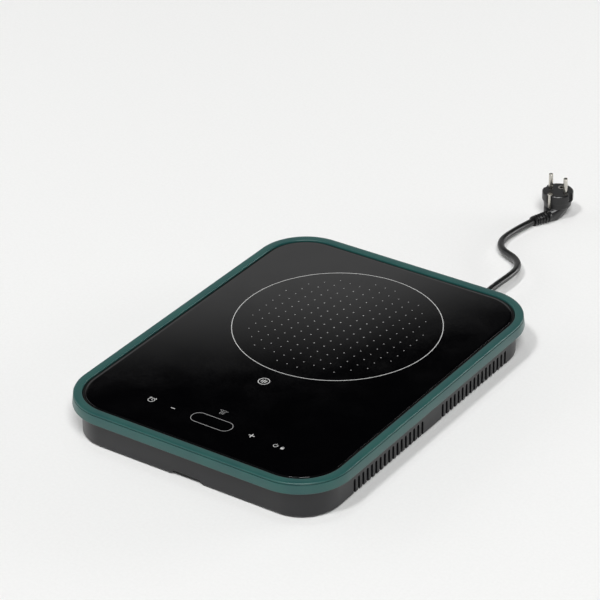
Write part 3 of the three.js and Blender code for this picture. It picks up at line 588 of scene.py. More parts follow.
def dotFieldTree():
    # printed dots on a square grid inside a circle, smaller towards its edge
    tree, source = startTree("printedDots", [
        ("Columns", "Int"), ("Rows", "Int"), ("Pitch", "Float"), ("Reach", "Float"), ("Centre", "Vector"),
        ("Middle Dot", "Float"), ("Edge Dot", "Float"), ("Thickness", "Float"), ("Seed", "Int"),
        ("Material", "Material"),
    ])

    def span(count):
        steps = addNode(tree, "ShaderNodeMath", {"operation": "SUBTRACT"}, {
            0: source[count], 1: 1.0,
        }).outputs[0]
        return addNode(tree, "ShaderNodeMath", {"operation": "MULTIPLY"}, {
            0: steps, 1: source["Pitch"],
        }).outputs[0]

    grid = addNode(tree, "GeometryNodeMeshGrid", None, {
        "Size X": span("Columns"), "Size Y": span("Rows"),
        "Vertices X": source["Columns"], "Vertices Y": source["Rows"],
    }).outputs["Mesh"]
    at = addNode(tree, "GeometryNodeInputPosition").outputs[0]
    away = addNode(tree, "ShaderNodeVectorMath", {"operation": "LENGTH"}, {0: at}).outputs["Value"]
    inside = addNode(tree, "FunctionNodeCompare", {"operation": "LESS_THAN"}, {
        0: away, 1: source["Reach"],
    }).outputs[0]
    size = addNode(tree, "ShaderNodeMapRange", None, {
        "Value": away, "From Min": 0.0, "From Max": source["Reach"],
        "To Min": source["Middle Dot"], "To Max": source["Edge Dot"],
    }).outputs["Result"]
    uneven = addNode(tree, "FunctionNodeRandomValue", {"data_type": "FLOAT"}, {
        2: 0.92, 3: 1.06, "Seed": source["Seed"],
    }).outputs[1]
    radius = addNode(tree, "ShaderNodeMath", {"operation": "MULTIPLY"}, {0: size, 1: uneven}).outputs[0]
    wide = addNode(tree, "ShaderNodeCombineXYZ", None, {"X": radius, "Y": radius, "Z": 1.0}).outputs[0]
    disc = addNode(tree, "GeometryNodeMeshCylinder", None, {
        "Vertices": 14, "Radius": 1.0, "Depth": source["Thickness"],
    }).outputs["Mesh"]
    dots = addNode(tree, "GeometryNodeInstanceOnPoints", None, {
        "Points": grid, "Selection": inside, "Instance": disc, "Scale": wide,
    }).outputs[0]
    real = addNode(tree, "GeometryNodeRealizeInstances", None, {"Geometry": dots}).outputs[0]
    placed = addNode(tree, "GeometryNodeTransform", None, {
        "Geometry": real, "Translation": source["Centre"],
    }).outputs[0]
    endTree(tree, placed, source["Material"])
    return tree


def ribbedSleeveTree():
    # a tapered sleeve along a line, with ribs between narrow grooves
    tree, source = startTree("ribbedSleeve", [
        ("Rings", "Int"), ("Ribs", "Float"), ("Start Radius", "Float"), ("End Radius", "Float"),
        ("Groove", "Float"), ("Plain Start", "Float"), ("Plain End", "Float"), ("Material", "Material"),
    ])
    line = addNode(tree, "GeometryNodeMeshToCurve", None, {"Mesh": source["Geometry"]}).outputs[0]
    even = addNode(tree, "GeometryNodeResampleCurve", None, {
        "Curve": line, "Count": source["Rings"],
    }).outputs[0]
    along = addNode(tree, "GeometryNodeSplineParameter").outputs["Factor"]
    taper = addNode(tree, "ShaderNodeMapRange", None, {
        "Value": along, "To Min": source["Start Radius"], "To Max": source["End Radius"],
    }).outputs["Result"]
    turns = addNode(tree, "ShaderNodeMapRange", None, {
        "Value": along, "From Min": source["Plain Start"], "From Max": source["Plain End"],
        "To Min": 0.0, "To Max": source["Ribs"],
    }).outputs["Result"]
    phase = addNode(tree, "ShaderNodeMath", {"operation": "MULTIPLY"}, {0: turns, 1: 2 * math.pi}).outputs[0]
    swing = addNode(tree, "ShaderNodeMath", {"operation": "COSINE"}, {0: phase}).outputs[0]
    dip = addNode(tree, "ShaderNodeMapRange", {"interpolation_type": "SMOOTHSTEP"}, {
        "Value": swing, "From Min": -0.55, "From Max": -0.1, "To Min": 1.0, "To Max": 0.0,
    }).outputs["Result"]
    cut = addNode(tree, "ShaderNodeMath", {"operation": "MULTIPLY"}, {0: dip, 1: source["Groove"]}).outputs[0]
    radius = addNode(tree, "ShaderNodeMath", {"operation": "SUBTRACT"}, {0: taper, 1: cut}).outputs[0]
    ring = addNode(tree, "GeometryNodeCurvePrimitiveCircle", None, {
        "Resolution": 28, "Radius": 1.0,
    }).outputs[0]
    sleeve = addNode(tree, "GeometryNodeCurveToMesh", None, {
        "Curve": even, "Profile Curve": ring, "Scale": radius, "Fill Caps": True,
    }).outputs[0]
    endTree(tree, sleeve, source["Material"])
    return tree


copiesOnPoints = copiesTree()
printedDots = dotFieldTree()
ribbedSleeve = ribbedSleeveTree()


def copiesAt(name, item, places, material, sharpAngle=32):
    # copies of an item at places in millimetres; the item itself is used up
    data = bpy.data.meshes.new(name)
    data.from_pydata([Vector(p) * mm for p in places], [], [])
    obj = putInScene(name, data)
    grow(obj, copiesOnPoints, {"Item": item, "Size": 1.0, "Material": material}, sharpAngle)
    discard(item)
    return obj


def sleeveAlong(name, line, values, material):
    data = bpy.data.meshes.new(name)
    data.from_pydata([Vector(p) * mm for p in line], [(i, i + 1) for i in range(len(line) - 1)], [])
    obj = putInScene(name, data)
    grow(obj, ribbedSleeve, {**values, "Material": material}, 40)
    closeUp(obj)
    return obj


print("node trees ready")


cord = {
    "diameter": 7.4,
    "exit": (66.5, 227.3, 14),
    "end": 5.6,
    "slot": "cord_pvc",
}
cordRoute = [
    cord["exit"], (66.5, 240, 14), (66.7, 253, 14), (67.1, 263, 14), (67.6, 273, 13.9), (67.9, 283, 13.6),
    (67.4, 292.7, 13.1), (65.6, 302, 12.4), (61.7, 310.9, 11.6), (55.6, 318.7, 10.8), (48.3, 325, 10),
    (40.1, 329.4, 9.3), (32.2, 333.6, 8.7), (25.4, 339.3, 8.1), (20, 346.5, 7.6), (16.5, 354.7, 7.1),
    (15.1, 363.3, 6.7), (15, 372.5, 6.3), (15.8, 382.6, 6), (17, 392.5, 5.8), (18.7, 402.6, cord["end"]),
    (20.9, 413, cord["end"]),
]


def smoothLine(points, between=8):
    # an even Catmull-Rom curve through the points, as the cord really lies
    line = []
    points = [Vector(p) for p in points]
    for i in range(len(points) - 1):
        p1, p2 = points[i], points[i + 1]
        p0 = points[i - 1] if i else p1 * 2 - p2
        p3 = points[i + 2] if i + 2 < len(points) else p2 * 2 - p1
        for k in range(between):
            t = k / between
            a = p1 * 2
            b = (p2 - p0) * t
            c = (p0 * 2 - p1 * 5 + p2 * 4 - p3) * t ** 2
            d = (p1 * 3 - p0 - p2 * 3 + p3) * t ** 3
            line.append((a + b + c + d) / 2)
    line.append(points[-1])
    return line


def lineLength(line):
    return sum((b - a).length for a, b in zip(line, line[1:]))


def layCord():
    line = smoothLine(cordRoute)
    data = bpy.data.curves.new("mains_lead", "CURVE")
    data.dimensions = "3D"
    data.bevel_depth = cord["diameter"] / 2 * mm
    data.bevel_resolution = 6
    data.use_fill_caps = True
    spline = data.splines.new("POLY")
    spline.points.add(len(line) - 1)
    for point, at in zip(spline.points, line):
        point.co = (*(at * mm), 1)
    spline.use_smooth = True
    data.materials.append(cordPvc)
    obj = putInScene("mains_lead", data)
    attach(obj, "casing")
    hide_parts("mains_cord")
    return obj, lineLength(line) * mm


mainsLead, leadLength = layCord()
print("cord laid:", round(leadLength, 4), "m")


casing = {
    "lipHalf": (153.8, 203.8),  # outline of the lip
    "lipRadius": 53.4,
    "top": 43.4,
    "lipWidth": 8.8,
    "ledgeWidth": 8.2,
    "skirtBottom": 31.9,
    "flare": 1.2,
    "skirtWall": 2.2,
    "edgeBottom": 41.9,  # lower end of the plain lip edge, above the groove
    "groove": (0.9, 0.9),
    "deckBottom": 35.2,
    "ledgeTop": 37.2,
    "roundover": 1.1,
    "wallHalf": (145.0, 195.0),
    "wallRadius": 41,
    "wall": 2.4,
    "wallTop": 34.9,
    "underside": 1.4,
    "floorTop": 4.5,
    "bossLength": 8,
    "bossRadius": 3.8,
    "bossBore": 1.8,
}


def arc(centre, radius, start, end, steps):
    return [(centre[0] + radius * math.cos(math.radians(start + (end - start) * i / steps)),
             centre[1] + radius * math.sin(math.radians(start + (end - start) * i / steps)))
            for i in range(steps + 1)]


def nodePlaces(*names):
    # middle in X and Y, and lowest and highest point, of each node
    places = []
    for name in names:
        low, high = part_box(name)
        middle = (low + high) / 2 / mm
        places.append((middle.x, middle.y, low.z / mm, high.z / mm))
    return places


def bossPlaces():
    return nodePlaces(*(f"case_screw_{i}" for i in range(1, 7)))


def bezel():
    top, width, r = casing["top"], casing["lipWidth"], casing["roundover"]
    deep, tall = casing["groove"]
    edge = casing["edgeBottom"]
    foot = casing["skirtBottom"]
    flare, wall = casing["flare"], casing["skirtWall"]
    deck = casing["deckBottom"]
    shelf = -width - casing["ledgeWidth"]
    profile = [(shelf, deck), (-wall, deck), (flare - wall, foot)]
    profile += arc((flare - 0.8, foot + 0.8), 0.8, 270, 355, 5)
    profile += [(0.05, edge - tall), (-0.1, edge - tall + 0.05)]
    profile += arc((-deep + 0.35, edge - tall + 0.4), 0.35, 270, 180, 3)
    profile += arc((-deep + 0.35, edge - 0.4), 0.35, 180, 90, 3)
    profile += arc((-0.35, edge + 0.35), 0.35, 285, 360, 4)
    profile += arc((-r, top - r), r, 0, 84, 8)
    profile += [(-width / 2, top), (-width + 1.2, top - 0.05)]
    profile += arc((-width + 0.9, top - 0.95), 0.9, 100, 180, 6)
    profile += [(-width, casing["ledgeTop"]), (shelf, casing["ledgeTop"])]
    ring = sweptRing("bezel_ring", profile, *casing["lipHalf"], casing["lipRadius"], tealAbs)
    bossBottom = deck - casing["bossLength"]
    boss, bore = casing["bossRadius"], casing["bossBore"]
    bossProfile = [(0, bossBottom), (boss, bossBottom), (boss, deck + 0.5), (0, deck + 0.5)]
    boreProfile = [(0, bossBottom - 1), (bore, bossBottom - 1), (bore, deck - 1), (0, deck - 1)]
    bosses = [turnedPiece("boss", bossProfile, tealAbs, 28, (x, y, 0)) for x, y, _, _ in bossPlaces()]
    bores = [turnedPiece("bore", boreProfile, tealAbs, 20, (x, y, 0)) for x, y, _, _ in bossPlaces()]
    carve(ring, weld("bosses", bosses), "UNION", 28)
    carve(ring, weld("bores", bores), "DIFFERENCE", 28)
    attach(ring, "casing")
    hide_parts("bezel_frame")
    return ring


bezel()
print("bezel swept")


glass = {
    "top": 42.5,
    "bottom": 38.5,
    "half": (142.0, 192.0),
    "radius": 41.6,
    "arris": 0.5,
}


def glassTop():
    a, top, bottom = glass["arris"], glass["top"], glass["bottom"]
    levels = [(-2.4, bottom), (-0.4, bottom), (0, bottom + 0.4)]
    levels += arc((-a, top - a), a, 0, 90, 6)
    levels.append((-a - 2, top))
    plate = stackedPlate("glass_plate", levels, *glass["half"], glass["radius"], blackGlass, 32)
    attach(plate, "casing")
    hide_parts("glass_top")


def sealBand():
    outer, inner = -casing["lipWidth"] - 0.3, -casing["lipWidth"] - 2.7
    top, flange = glass["top"] - 0.9, glass["bottom"] - 0.3
    profile = [(outer, flange - 0.7), (outer, top - 0.5), (outer - 0.4, top), (outer - 0.8, top - 0.35),
               (inner + 0.8, top - 0.35), (inner + 0.3, top - 0.05), (inner, top - 0.5), (inner, flange),
               (-casing["lipWidth"] - 7.9, flange), (-casing["lipWidth"] - 7.9, flange - 0.7)]
    profile.reverse()
    band = sweptRing("seal_band", profile, *casing["lipHalf"], casing["lipRadius"], siliconeSeal)
    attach(band, "casing")
    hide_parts("glass_seal")


glassTop()
sealBand()
print("glass laid")


prints = {
    "level": (42.48, 42.53),  # the ink stands a little above the glass
    "zoneCentre": (0, 60.6),
    "zoneRadius": 105.5,
    "zoneLine": 0.75,
    "dotPitch": 11.77,
    "dotReach": 90,
    "middleDot": 0.85,
    "edgeDot": 0.62,
    "pill": (0, -152.7, 45.7, 16),
    "pillLine": 0.6,
    "stroke": 0.65,
    "barStroke": 0.95,
    "timer": (-71.5, -152.3),
    "minus": (-45.3, -153.2),
    "plus": (45.4, -152),
    "power": (73.9, -153.8),
    "lock": (81.7, -153.6),
    "heat": (-1, -133.4),
    "badge": (-0.4, -66.5),
    "barHalf": (2.4, 3.2),  # half lengths of the minus and the plus
}


def inkStroke(line, width, closed=False):
    # a flat ribbon of ink along a line
    points = [Vector(p) for p in line]
    total = len(points)
    low, high = prints["level"]
    sides = []
    for i, at in enumerate(points):
        before = points[i - 1] if closed or i else at
        after = points[(i + 1) % total] if closed or i < total - 1 else at
        along = (after - before).normalized()
        across = Vector((-along.y, along.x)) * width / 2
        sides.append((at + across, at - across))
    verts = [(*side, z) for pair in sides for z in (low, high) for side in pair]
    faces = []
    for i in range(total if closed else total - 1):
        a, b = 4 * i, 4 * ((i + 1) % total)
        faces += [(a, b, b + 1, a + 1), (a + 2, a + 3, b + 3, b + 2)]
        faces += [(a, a + 2, b + 2, b), (a + 1, b + 1, b + 3, a + 3)]
    if not closed:
        last = 4 * (total - 1)
        faces += [(0, 1, 3, 2), (last, last + 2, last + 3, last + 1)]
    return makePiece("ink", verts, faces, paleInk)


def inkArc(centre, radius, start, end, width, steps=40):
    full = abs(end - start) >= 360
    line = arc(centre, radius, start, end, steps)
    return inkStroke(line[:-1] if full else line, width, full)


def inkPatch(outline):
    return prism("ink", outline, *prints["level"], paleInk)


def finishInk(name, strokes, material):
    mark = weld(name, strokes)
    mark.data.materials.clear()
    mark.data.materials.append(material)
    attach(mark, "casing")


def pillStrokes():
    x, y, length, height = prints["pill"]
    r = height / 2
    half = length / 2 - r
    line = [(x + half + px, y + py) for px, py in arc((0, 0), r, -90, 90, 24)]
    line += [(x - half + px, y + py) for px, py in arc((0, 0), r, 90, 270, 24)]
    return [inkStroke(line, prints["pillLine"], True)]


def timerSign(x, y):
    # a round clock with two bells
    s = prints["stroke"]
    parts = [inkArc((x, y), 3.3, 0, 360, s)]
    parts += [inkArc((x, y), 4.7, start, start + 27, 1.0, 6) for start in (35, 118)]
    parts += [inkStroke([(x, y), (x, y + 2)], 0.5), inkStroke([(x + 0.25, y), (x + 1.7, y)], 0.5)]
    return parts


def heatSign(x, y):
    # a pan over three rising lines
    pan = [(x - 2.7, y + 0.6), (x + 2.7, y + 0.6), (x + 3, y + 3), (x - 3, y + 3)]
    parts = [inkStroke(pan, 0.5, True), inkStroke([(x - 4.6, y + 2.6), (x - 3.3, y + 2.6)], 0.5),
             inkStroke([(x + 3.3, y + 2.6), (x + 4.6, y + 2.6)], 0.5)]
    for k in (-1.8, 0, 1.8):
        wave = [(x + k + 0.35 * math.sin(t * 1.1), y - 0.4 - 0.4 * t) for t in range(9)]
        parts.append(inkStroke(wave, 0.5))
    return parts


def plusSign(x, y, half, width):
    parts = [inkStroke([(x - half, y), (x + half, y)], width)]
    parts += [inkStroke([(x, y + side * width / 2 * 1.02), (x, y + side * half)], width) for side in (-1, 1)]
    return parts


def powerSign(x, y):
    return [inkArc((x, y), 2.2, 125, 415, 0.6, 32), inkStroke([(x, y + 0.6), (x, y + 3.1)], 0.6)]


def lockSign(x, y):
    body = [(x - 1.6, y - 2.3), (x + 1.6, y - 2.3), (x + 1.6, y + 0.1), (x - 1.6, y + 0.1)]
    return [inkPatch(body), inkArc((x, y + 0.25), 1.25, 0, 180, 0.5, 16)]


def plainMark(x, y):
    # a plain badge of three leaning bars in place of a maker's sign
    parts = [inkArc((x, y), 5.6, 0, 360, 0.8, 48)]
    for k, tall in ((-2.2, 2.0), (0, 3.0), (2.2, 2.0)):
        parts.append(inkStroke([(x + k - 0.3, y - tall), (x + k + 0.3, y + tall)], 1.1))
    return parts


def printMarks():
    ring = inkArc(prints["zoneCentre"], prints["zoneRadius"], 0, 360, prints["zoneLine"], 240)
    finishInk("zone_ring", [ring], paleInk)
    finishInk("display_outline", pillStrokes(), greyInk)
    bright = timerSign(*prints["timer"]) + powerSign(*prints["power"]) + lockSign(*prints["lock"])
    (x, y), (minusHalf, plusHalf) = prints["minus"], prints["barHalf"]
    bright.append(inkStroke([(x - minusHalf, y), (x + minusHalf, y)], prints["barStroke"]))
    bright += plusSign(*prints["plus"], plusHalf, prints["barStroke"])
    finishInk("touch_signs", bright, paleInk)
    finishInk("heat_sign", heatSign(*prints["heat"]), greyInk)
    finishInk("plain_mark", plainMark(*prints["badge"]), paleInk)
    dots = putInScene("zone_dots", bpy.data.meshes.new("zone_dots"))
    low, high = prints["level"]
    x, y = prints["zoneCentre"]
    grow(dots, printedDots, {
        "Columns": 15, "Rows": 16, "Pitch": prints["dotPitch"] * mm, "Reach": prints["dotReach"] * mm,
        "Centre": (x * mm, y * mm, (low + high) / 2 * mm),
        "Middle Dot": prints["middleDot"] * mm, "Edge Dot": prints["edgeDot"] * mm,
        "Thickness": (high - low) * mm, "Seed": 7, "Material": greyInk,
    })
    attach(dots, "casing")


printMarks()
print("marks printed")


housing = {
    "slotWidth": 3.5,
    "slotTop": 17,
    "slotReach": 6,
    "pitch": 7.37,
    "groups": [(-131.1, -8.4), (24.2, 146.0)],
    "notch": (36.4, 31.0, 4, 5),  # bottom width, top width, height, depth
    "footPlaces": [(-119, -165), (119, -165), (-119, 165), (119, 165)],
    "footRadius": 8,
    "fan": (-85, -89),
    "fanReach": 36.5,
    "bar": 3.5,
    "gland": (66.5, 14, 6.4),
    "post": (4.3, 26.9),  # radius and top of the case screws' posts
    "boardPost": 3.8,
    "head": (3.1, 24.4),  # bore for a screw's head, and how far up it goes
    "shankBore": 1.8,
}


def slotItem():
    # one round-topped slot along X, cut from below
    half = housing["slotWidth"] / 2
    outline = [(-half, -1), (half, -1)] + arc((0, housing["slotTop"] - half), half, 0, 180, 10)
    slot = prism("slot", outline, 0, 7 + housing["slotReach"], greyPolypropylene)
    return turnMesh(slot, Matrix(((0, 0, 1, 0), (1, 0, 0, 0), (0, 1, 0, 0), (0, 0, 0, 1))))


def slotPlaces():
    places = []
    wall, reach = casing["wallHalf"][0], housing["slotReach"]
    for start, end in housing["groups"]:
        count = int((end - start - housing["slotWidth"]) / housing["pitch"]) + 1
        first = (start + end - (count - 1) * housing["pitch"]) / 2
        for i in range(count):
            y = first + i * housing["pitch"]
            places += [(wall - reach, y, 0), (-wall - 7, y, 0)]
    return places


def grilleCutters():
    x0, y0 = housing["fan"]
    bar, reach = housing["bar"], housing["fanReach"]
    pitch = 2 * bar
    cutters = []
    for i in range(-int(reach / pitch), int(reach / pitch) + 1):
        half = math.sqrt(reach ** 2 - (i * pitch) ** 2)
        x = x0 + i * pitch
        for side in (-1, 1):
            y = sorted((y0 + side * bar, y0 + side * half))
            low, high = (x - bar / 2, y[0], 1), (x + bar / 2, y[1], 6)
            cutters.append(blockPiece("cut", low, high, greyPolypropylene))
    return cutters


def rodAt(radius, z0, z1, x, y, steps=28):
    profile = [(0, z0), (radius, z0), (radius, z1), (0, z1)]
    return turnedPiece("rod", profile, greyPolypropylene, steps, (x, y, 0))


def lowerHousing():
    (wallX, wallY), radius, wall = casing["wallHalf"], casing["wallRadius"], casing["wall"]
    base, floor, top = casing["underside"], casing["floorTop"], casing["wallTop"]
    levels = [(out, z) for out, z in arc((-1.4, base + 1.4), 1.4, 270, 360, 6)]
    levels += [(0, top - 0.4), (-0.4, top), (-wall + 0.4, top), (-wall, top - 0.4)]
    levels += [(-wall, floor + 0.6), (-wall - 0.6, floor)]
    tray = stackedPlate("lower_housing", levels, wallX, wallY, radius, greyPolypropylene)
    (postRadius, postTop), bore = housing["post"], housing["shankBore"]
    posts = [rodAt(postRadius, floor - 1, postTop, x, y) for x, y, _, _ in bossPlaces()]
    webs = []
    for x, y, _, _ in bossPlaces():
        outer, inner = math.copysign(wallX - wall / 2, x), math.copysign(abs(x) + 3.9, x)
        low, high = sorted((outer, inner))
        webs.append(blockPiece("web", (low, y - 0.9, floor - 1), (high, y + 0.9, postTop), greyPolypropylene))
    coil = nodePlaces("coil_screw_1", "coil_screw_2", "coil_screw_3")
    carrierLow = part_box("coil_carrier")[0].z / mm
    posts += [rodAt(postRadius, floor - 1, carrierLow - 0.3, x, y) for x, y, _, _ in coil]
    for board, inX, inY in (("power_board", 6, 6), ("control_board", 6, 5)):
        low, high = (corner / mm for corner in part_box(board))
        for x in (low.x + inX, high.x - inX):
            for y in (low.y + inY, high.y - inY):
                posts.append(rodAt(housing["boardPost"], floor - 1, low.z - 0.3, x, y))
    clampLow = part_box("cord_clamp")[0].z / mm
    clamps = nodePlaces("clamp_screw_1", "clamp_screw_2")
    posts += [rodAt(postRadius, floor - 1, clampLow - 0.3, x, y) for x, y, _, _ in clamps]
    wide, narrow, tall, deep = housing["notch"]
    roof = blockPiece("roof", (-wide / 2 - wall, -wallY + wall / 2, floor - 1),
                      (wide / 2 + wall, -wallY + deep + wall, base + tall + wall), greyPolypropylene)
    for shape in (*posts, *webs, roof):
        carve(tray, shape, "UNION", None)
    slots = copiesAt("slots", slotItem(), slotPlaces(), greyPolypropylene)
    closeUp(slots)
    carve(tray, slots, "DIFFERENCE", None)
    notch = prism("notch", [(-wide / 2, 1), (wide / 2, 1), (wide / 2, base), (narrow / 2, base + tall),
                            (-narrow / 2, base + tall), (-wide / 2, base)], 0, deep + 1, greyPolypropylene)
    turnMesh(notch, Matrix(((1, 0, 0, 0), (0, 0, -1, (-wallY + deep) * mm), (0, 1, 0, 0), (0, 0, 0, 1))))
    closeUp(notch)
    tools = grilleCutters()
    tools += [rodAt(8.3, 1, base + 1, x, y, 40) for x, y in housing["footPlaces"]]
    carve(tray, weld("openings", [notch, *tools]), "DIFFERENCE", None)
    headRadius, headTop = housing["head"]
    heads = [rodAt(headRadius, 1, headTop, x, y, 28) for x, y, _, _ in bossPlaces()]
    carve(tray, weld("heads", heads), "DIFFERENCE", None)
    bores = [rodAt(bore, 20, 30, x, y, 20) for x, y, _, _ in bossPlaces()]
    bores += [rodAt(bore, carrierLow - 9, casing["wallTop"], x, y, 20) for x, y, _, _ in coil]
    bores += [rodAt(bore, clampLow - 7, clampLow, x, y, 20) for x, y, _, _ in clamps]
    carve(tray, weld("bores", bores), "DIFFERENCE", None)
    x, z, r = housing["gland"]
    gland = turnedPiece("gland", [(0, -6), (r, -6), (r, 6), (0, 6)], greyPolypropylene, 40)
    turnMesh(gland, Matrix.Translation((x * mm, wallY * mm, z * mm)) @ Matrix.Rotation(-math.pi / 2, 4, "X"))
    carve(tray, gland, "DIFFERENCE", 30)
    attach(tray, "casing")
    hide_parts("housing_floor", "housing_wall")
    return tray


lowerHousing()
print("housing cut")


def feet():
    r = housing["footRadius"]
    profile = [(0, 0.25), (3.2, 0.25), (3.6, 0), (r - 1.6, 0), (r - 0.9, 0.1), (r - 0.3, 0.45),
               (r, 1.0), (r, 2.5), (r - 0.2, 2.7), (0, 2.7)]
    item = turnedPiece("foot", profile, footRubber, 40)
    places = [(x, y, 0) for x, y in housing["footPlaces"]]
    pads = copiesAt("rubber_feet", item, places, footRubber)
    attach(pads, "casing")
    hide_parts("foot_front_left", "foot_front_right", "foot_rear_left", "foot_rear_right")


screw = {
    "head": 2.0,
    "crest": 1.5,
    "root": 1.2,
    "pitch": 1.1,
}


def screwItem(shank, flip=False):
    # pan head with a cross recess; the head's underside is at its origin and the shank points up
    head, crest, root, pitch = (screw[key] for key in ("head", "crest", "root", "pitch"))
    profile = [(0, -head), (1.6, -head), (2.3, -1.7), (2.7, -1.1), (2.8, -0.4), (2.8, 0), (crest, 0)]
    for i in range(int(shank / pitch)):
        z = 0.4 + i * pitch
        profile += [(crest, z), (root, z + 0.35), (root, z + 0.6), (crest, z + 0.95)]
    profile += [(root, shank - 0.3), (0, shank)]
    item = turnedPiece("screw", profile, zincSteel, 20, sharpAngle=40)
    cross = weld("cross", [blockPiece("bar", (-1.5, -0.35, -3), (1.5, 0.35, -1.0), zincSteel)])
    carve(item, cross, "DIFFERENCE", 40)
    second = blockPiece("bar", (-0.35, -1.5, -3), (0.35, 1.5, -1.0), zincSteel)
    carve(item, second, "DIFFERENCE", 40)
    if flip:
        turnMesh(item, Matrix.Rotation(math.pi, 4, "X"))
    return item


def screws():
    seat = screw["head"]
    sets = [
        ("case_screws", [f"case_screw_{i}" for i in range(1, 7)], False),
        ("coil_screws", [f"coil_screw_{i}" for i in range(1, 4)], True),
        ("clamp_screws", ["clamp_screw_1", "clamp_screw_2"], True),
    ]
    for name, members, flip in sets:
        places = nodePlaces(*members)
        shank = places[0][3] - places[0][2] - seat
        item = screwItem(shank, flip)
        at = [(x, y, high - seat if flip else low + seat) for x, y, low, high in places]
        obj = copiesAt(name, item, at, zincSteel, 40)
        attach(obj, "casing")
        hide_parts(*members)


feet()
screws()
print("feet and screws set")


grommet = {
    "at": (66.5, 195, 14),
    "neck": 6.1,
    "tip": 4.6,
    "flange": 8.1,
    "length": 32,
}


def cordGrommet():
    x, y, z = grommet["at"]
    neck, rim = grommet["neck"], grommet["flange"]
    flange = turnedPiece("flange", [
        (0, -4.7), (rim - 0.5, -4.7), (rim, -4.2), (rim, -2.7), (neck, -2.7), (neck, 0.3), (rim - 0.3, 0.3),
        (rim, 0.7), (rim, 1.6), (rim - 0.7, 2.3), (neck, 2.6), (neck - 0.2, 3.4), (0, 3.4),
    ], plugPvc, 40)
    turnMesh(flange, Matrix.Translation((x * mm, y * mm, z * mm)) @ Matrix.Rotation(-math.pi / 2, 4, "X"))
    line = [(x, y + 2.6 + (grommet["length"] - 2.6) * i / 40, z) for i in range(41)]
    sleeve = sleeveAlong("cord_sleeve", line, {
        "Rings": 150, "Ribs": 7.0, "Start Radius": neck * mm, "End Radius": grommet["tip"] * mm,
        "Groove": 0.8 * mm, "Plain Start": 0.06, "Plain End": 0.92,
    }, plugPvc)
    carve(sleeve, flange, "UNION", 40)
    sleeve.name = "cord_sleeve"
    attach(sleeve, "casing")
    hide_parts("cord_grommet")
    return sleeve


cordSleeve = cordGrommet()
print("grommet ribbed")


plug = {
    "place": (30.8, 449.2),
    "yaw": -4,
    "top": 31,
    "radius": 17.3,
    "rim": 10,
    "waist": 14.5,
    "keel": 6.5,
    "nose": (-18.3, 7.0, 6.6),  # local y, height and radius where the relief joins
    "pinGap": 19,
    "pinRadius": 2.4,
    "pinLength": 17.8,
    "clipBottom": 15.5,
    "earthAt": 7.4,
    "voxel": 0.3,
    "relief": (5.4, 6.6),  # radius at the cord and at the plug
    "reliefGroove": 1.3,
}


def plugTurn():
    return Matrix.Translation((plug["place"][0] * mm, plug["place"][1] * mm, 0)) @ Matrix.Rotation(
        math.radians(plug["yaw"]), 4, "Z")


def hullPiece(name, points, material):
    work = bmesh.new()
    for p in points:
        work.verts.new(Vector(p) * mm)
    bmesh.ops.convex_hull(work, input=work.verts)
    loose = [v for v in work.verts if not v.link_faces]
    bmesh.ops.delete(work, geom=loose, context="VERTS")
    bmesh.ops.recalc_face_normals(work, faces=work.faces)
    data = bpy.data.meshes.new(name)
    work.to_mesh(data)
    work.free()
    data.materials.append(material)
    obj = putInScene(name, data)
    return obj


def plugBody():
    top, r, waist = plug["top"], plug["radius"], plug["waist"]
    shoulder = top - plug["rim"]
    noseY, noseZ, noseR = plug["nose"]
    upper = turnedPiece("upper", [
        (0, waist - 0.5), (r - 2.7, waist - 0.5), (r - 2.2, waist), (r - 2.2, shoulder - 0.5),
        (r - 0.2, shoulder), (r - 0.2, top - 1.2), (r - 1.2, top - 0.1), (0, top - 0.1),
    ], plugPvc, 72)
    lower = [(x, y, waist) for x, y in circle(r - 2.7)]
    lower += [(x, noseY + 0.2, noseZ + z) for x, z in circle(noseR - 0.3)]
    lower += [(x, y, 0.5) for x in (-plug["keel"], plug["keel"]) for y in (-12, 1)]
    lower += [(x, y, 0.9) for x in (-plug["keel"] - 0.9, plug["keel"] + 0.9) for y in (-12, 1)]
    body = carve(upper, hullPiece("lower", lower, plugPvc), "UNION", None)
    tools = []
    for side in (-1, 1):
        # guide grooves at both ends of the pin line, and slots for the earth strips
        x = sorted((side * (r - 2.6), side * (r + 3)))
        tools.append(blockPiece("groove", (x[0], -3.2, shoulder + 1), (x[1], 3.2, top + 1), plugPvc))
        y = sorted((side * (r - 2.2), side * (r + 3)))
        bottom = plug["clipBottom"] - 0.3
        tools.append(blockPiece("slot", (-2.9, y[0], bottom), (2.9, y[1], top + 1), plugPvc))
    earthBore = [(0, top - 9), (2.4, top - 9), (2.4, top + 1), (0, top + 1)]
    tools.append(turnedPiece("earth", earthBore, plugPvc, 32, (0, plug["earthAt"], 0)))
    pinBore = [(0, top - 6), (2.75, top - 6), (2.75, top + 1), (0, top + 1)]
    for side in (-1, 1):
        x = side * plug["pinGap"] / 2
        tools.append(turnedPiece("socket", pinBore, plugPvc, 32, (x, 0, 0)))
    for tool in tools:
        carve(body, tool, "DIFFERENCE", None)
    remesh = body.modifiers.new("soften", "REMESH")
    remesh.mode = "VOXEL"
    remesh.voxel_size = plug["voxel"] * mm
    remesh.use_smooth_shade = True
    relax = body.modifiers.new("relax", "SMOOTH")
    relax.factor = 0.5
    relax.iterations = 2
    settle(body)
    body.name = "plug_moulding"
    turnMesh(body, plugTurn())
    body.data.materials.clear()
    body.data.materials.append(plugPvc)
    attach(body, "casing")
    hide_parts("plug_body")
    return body


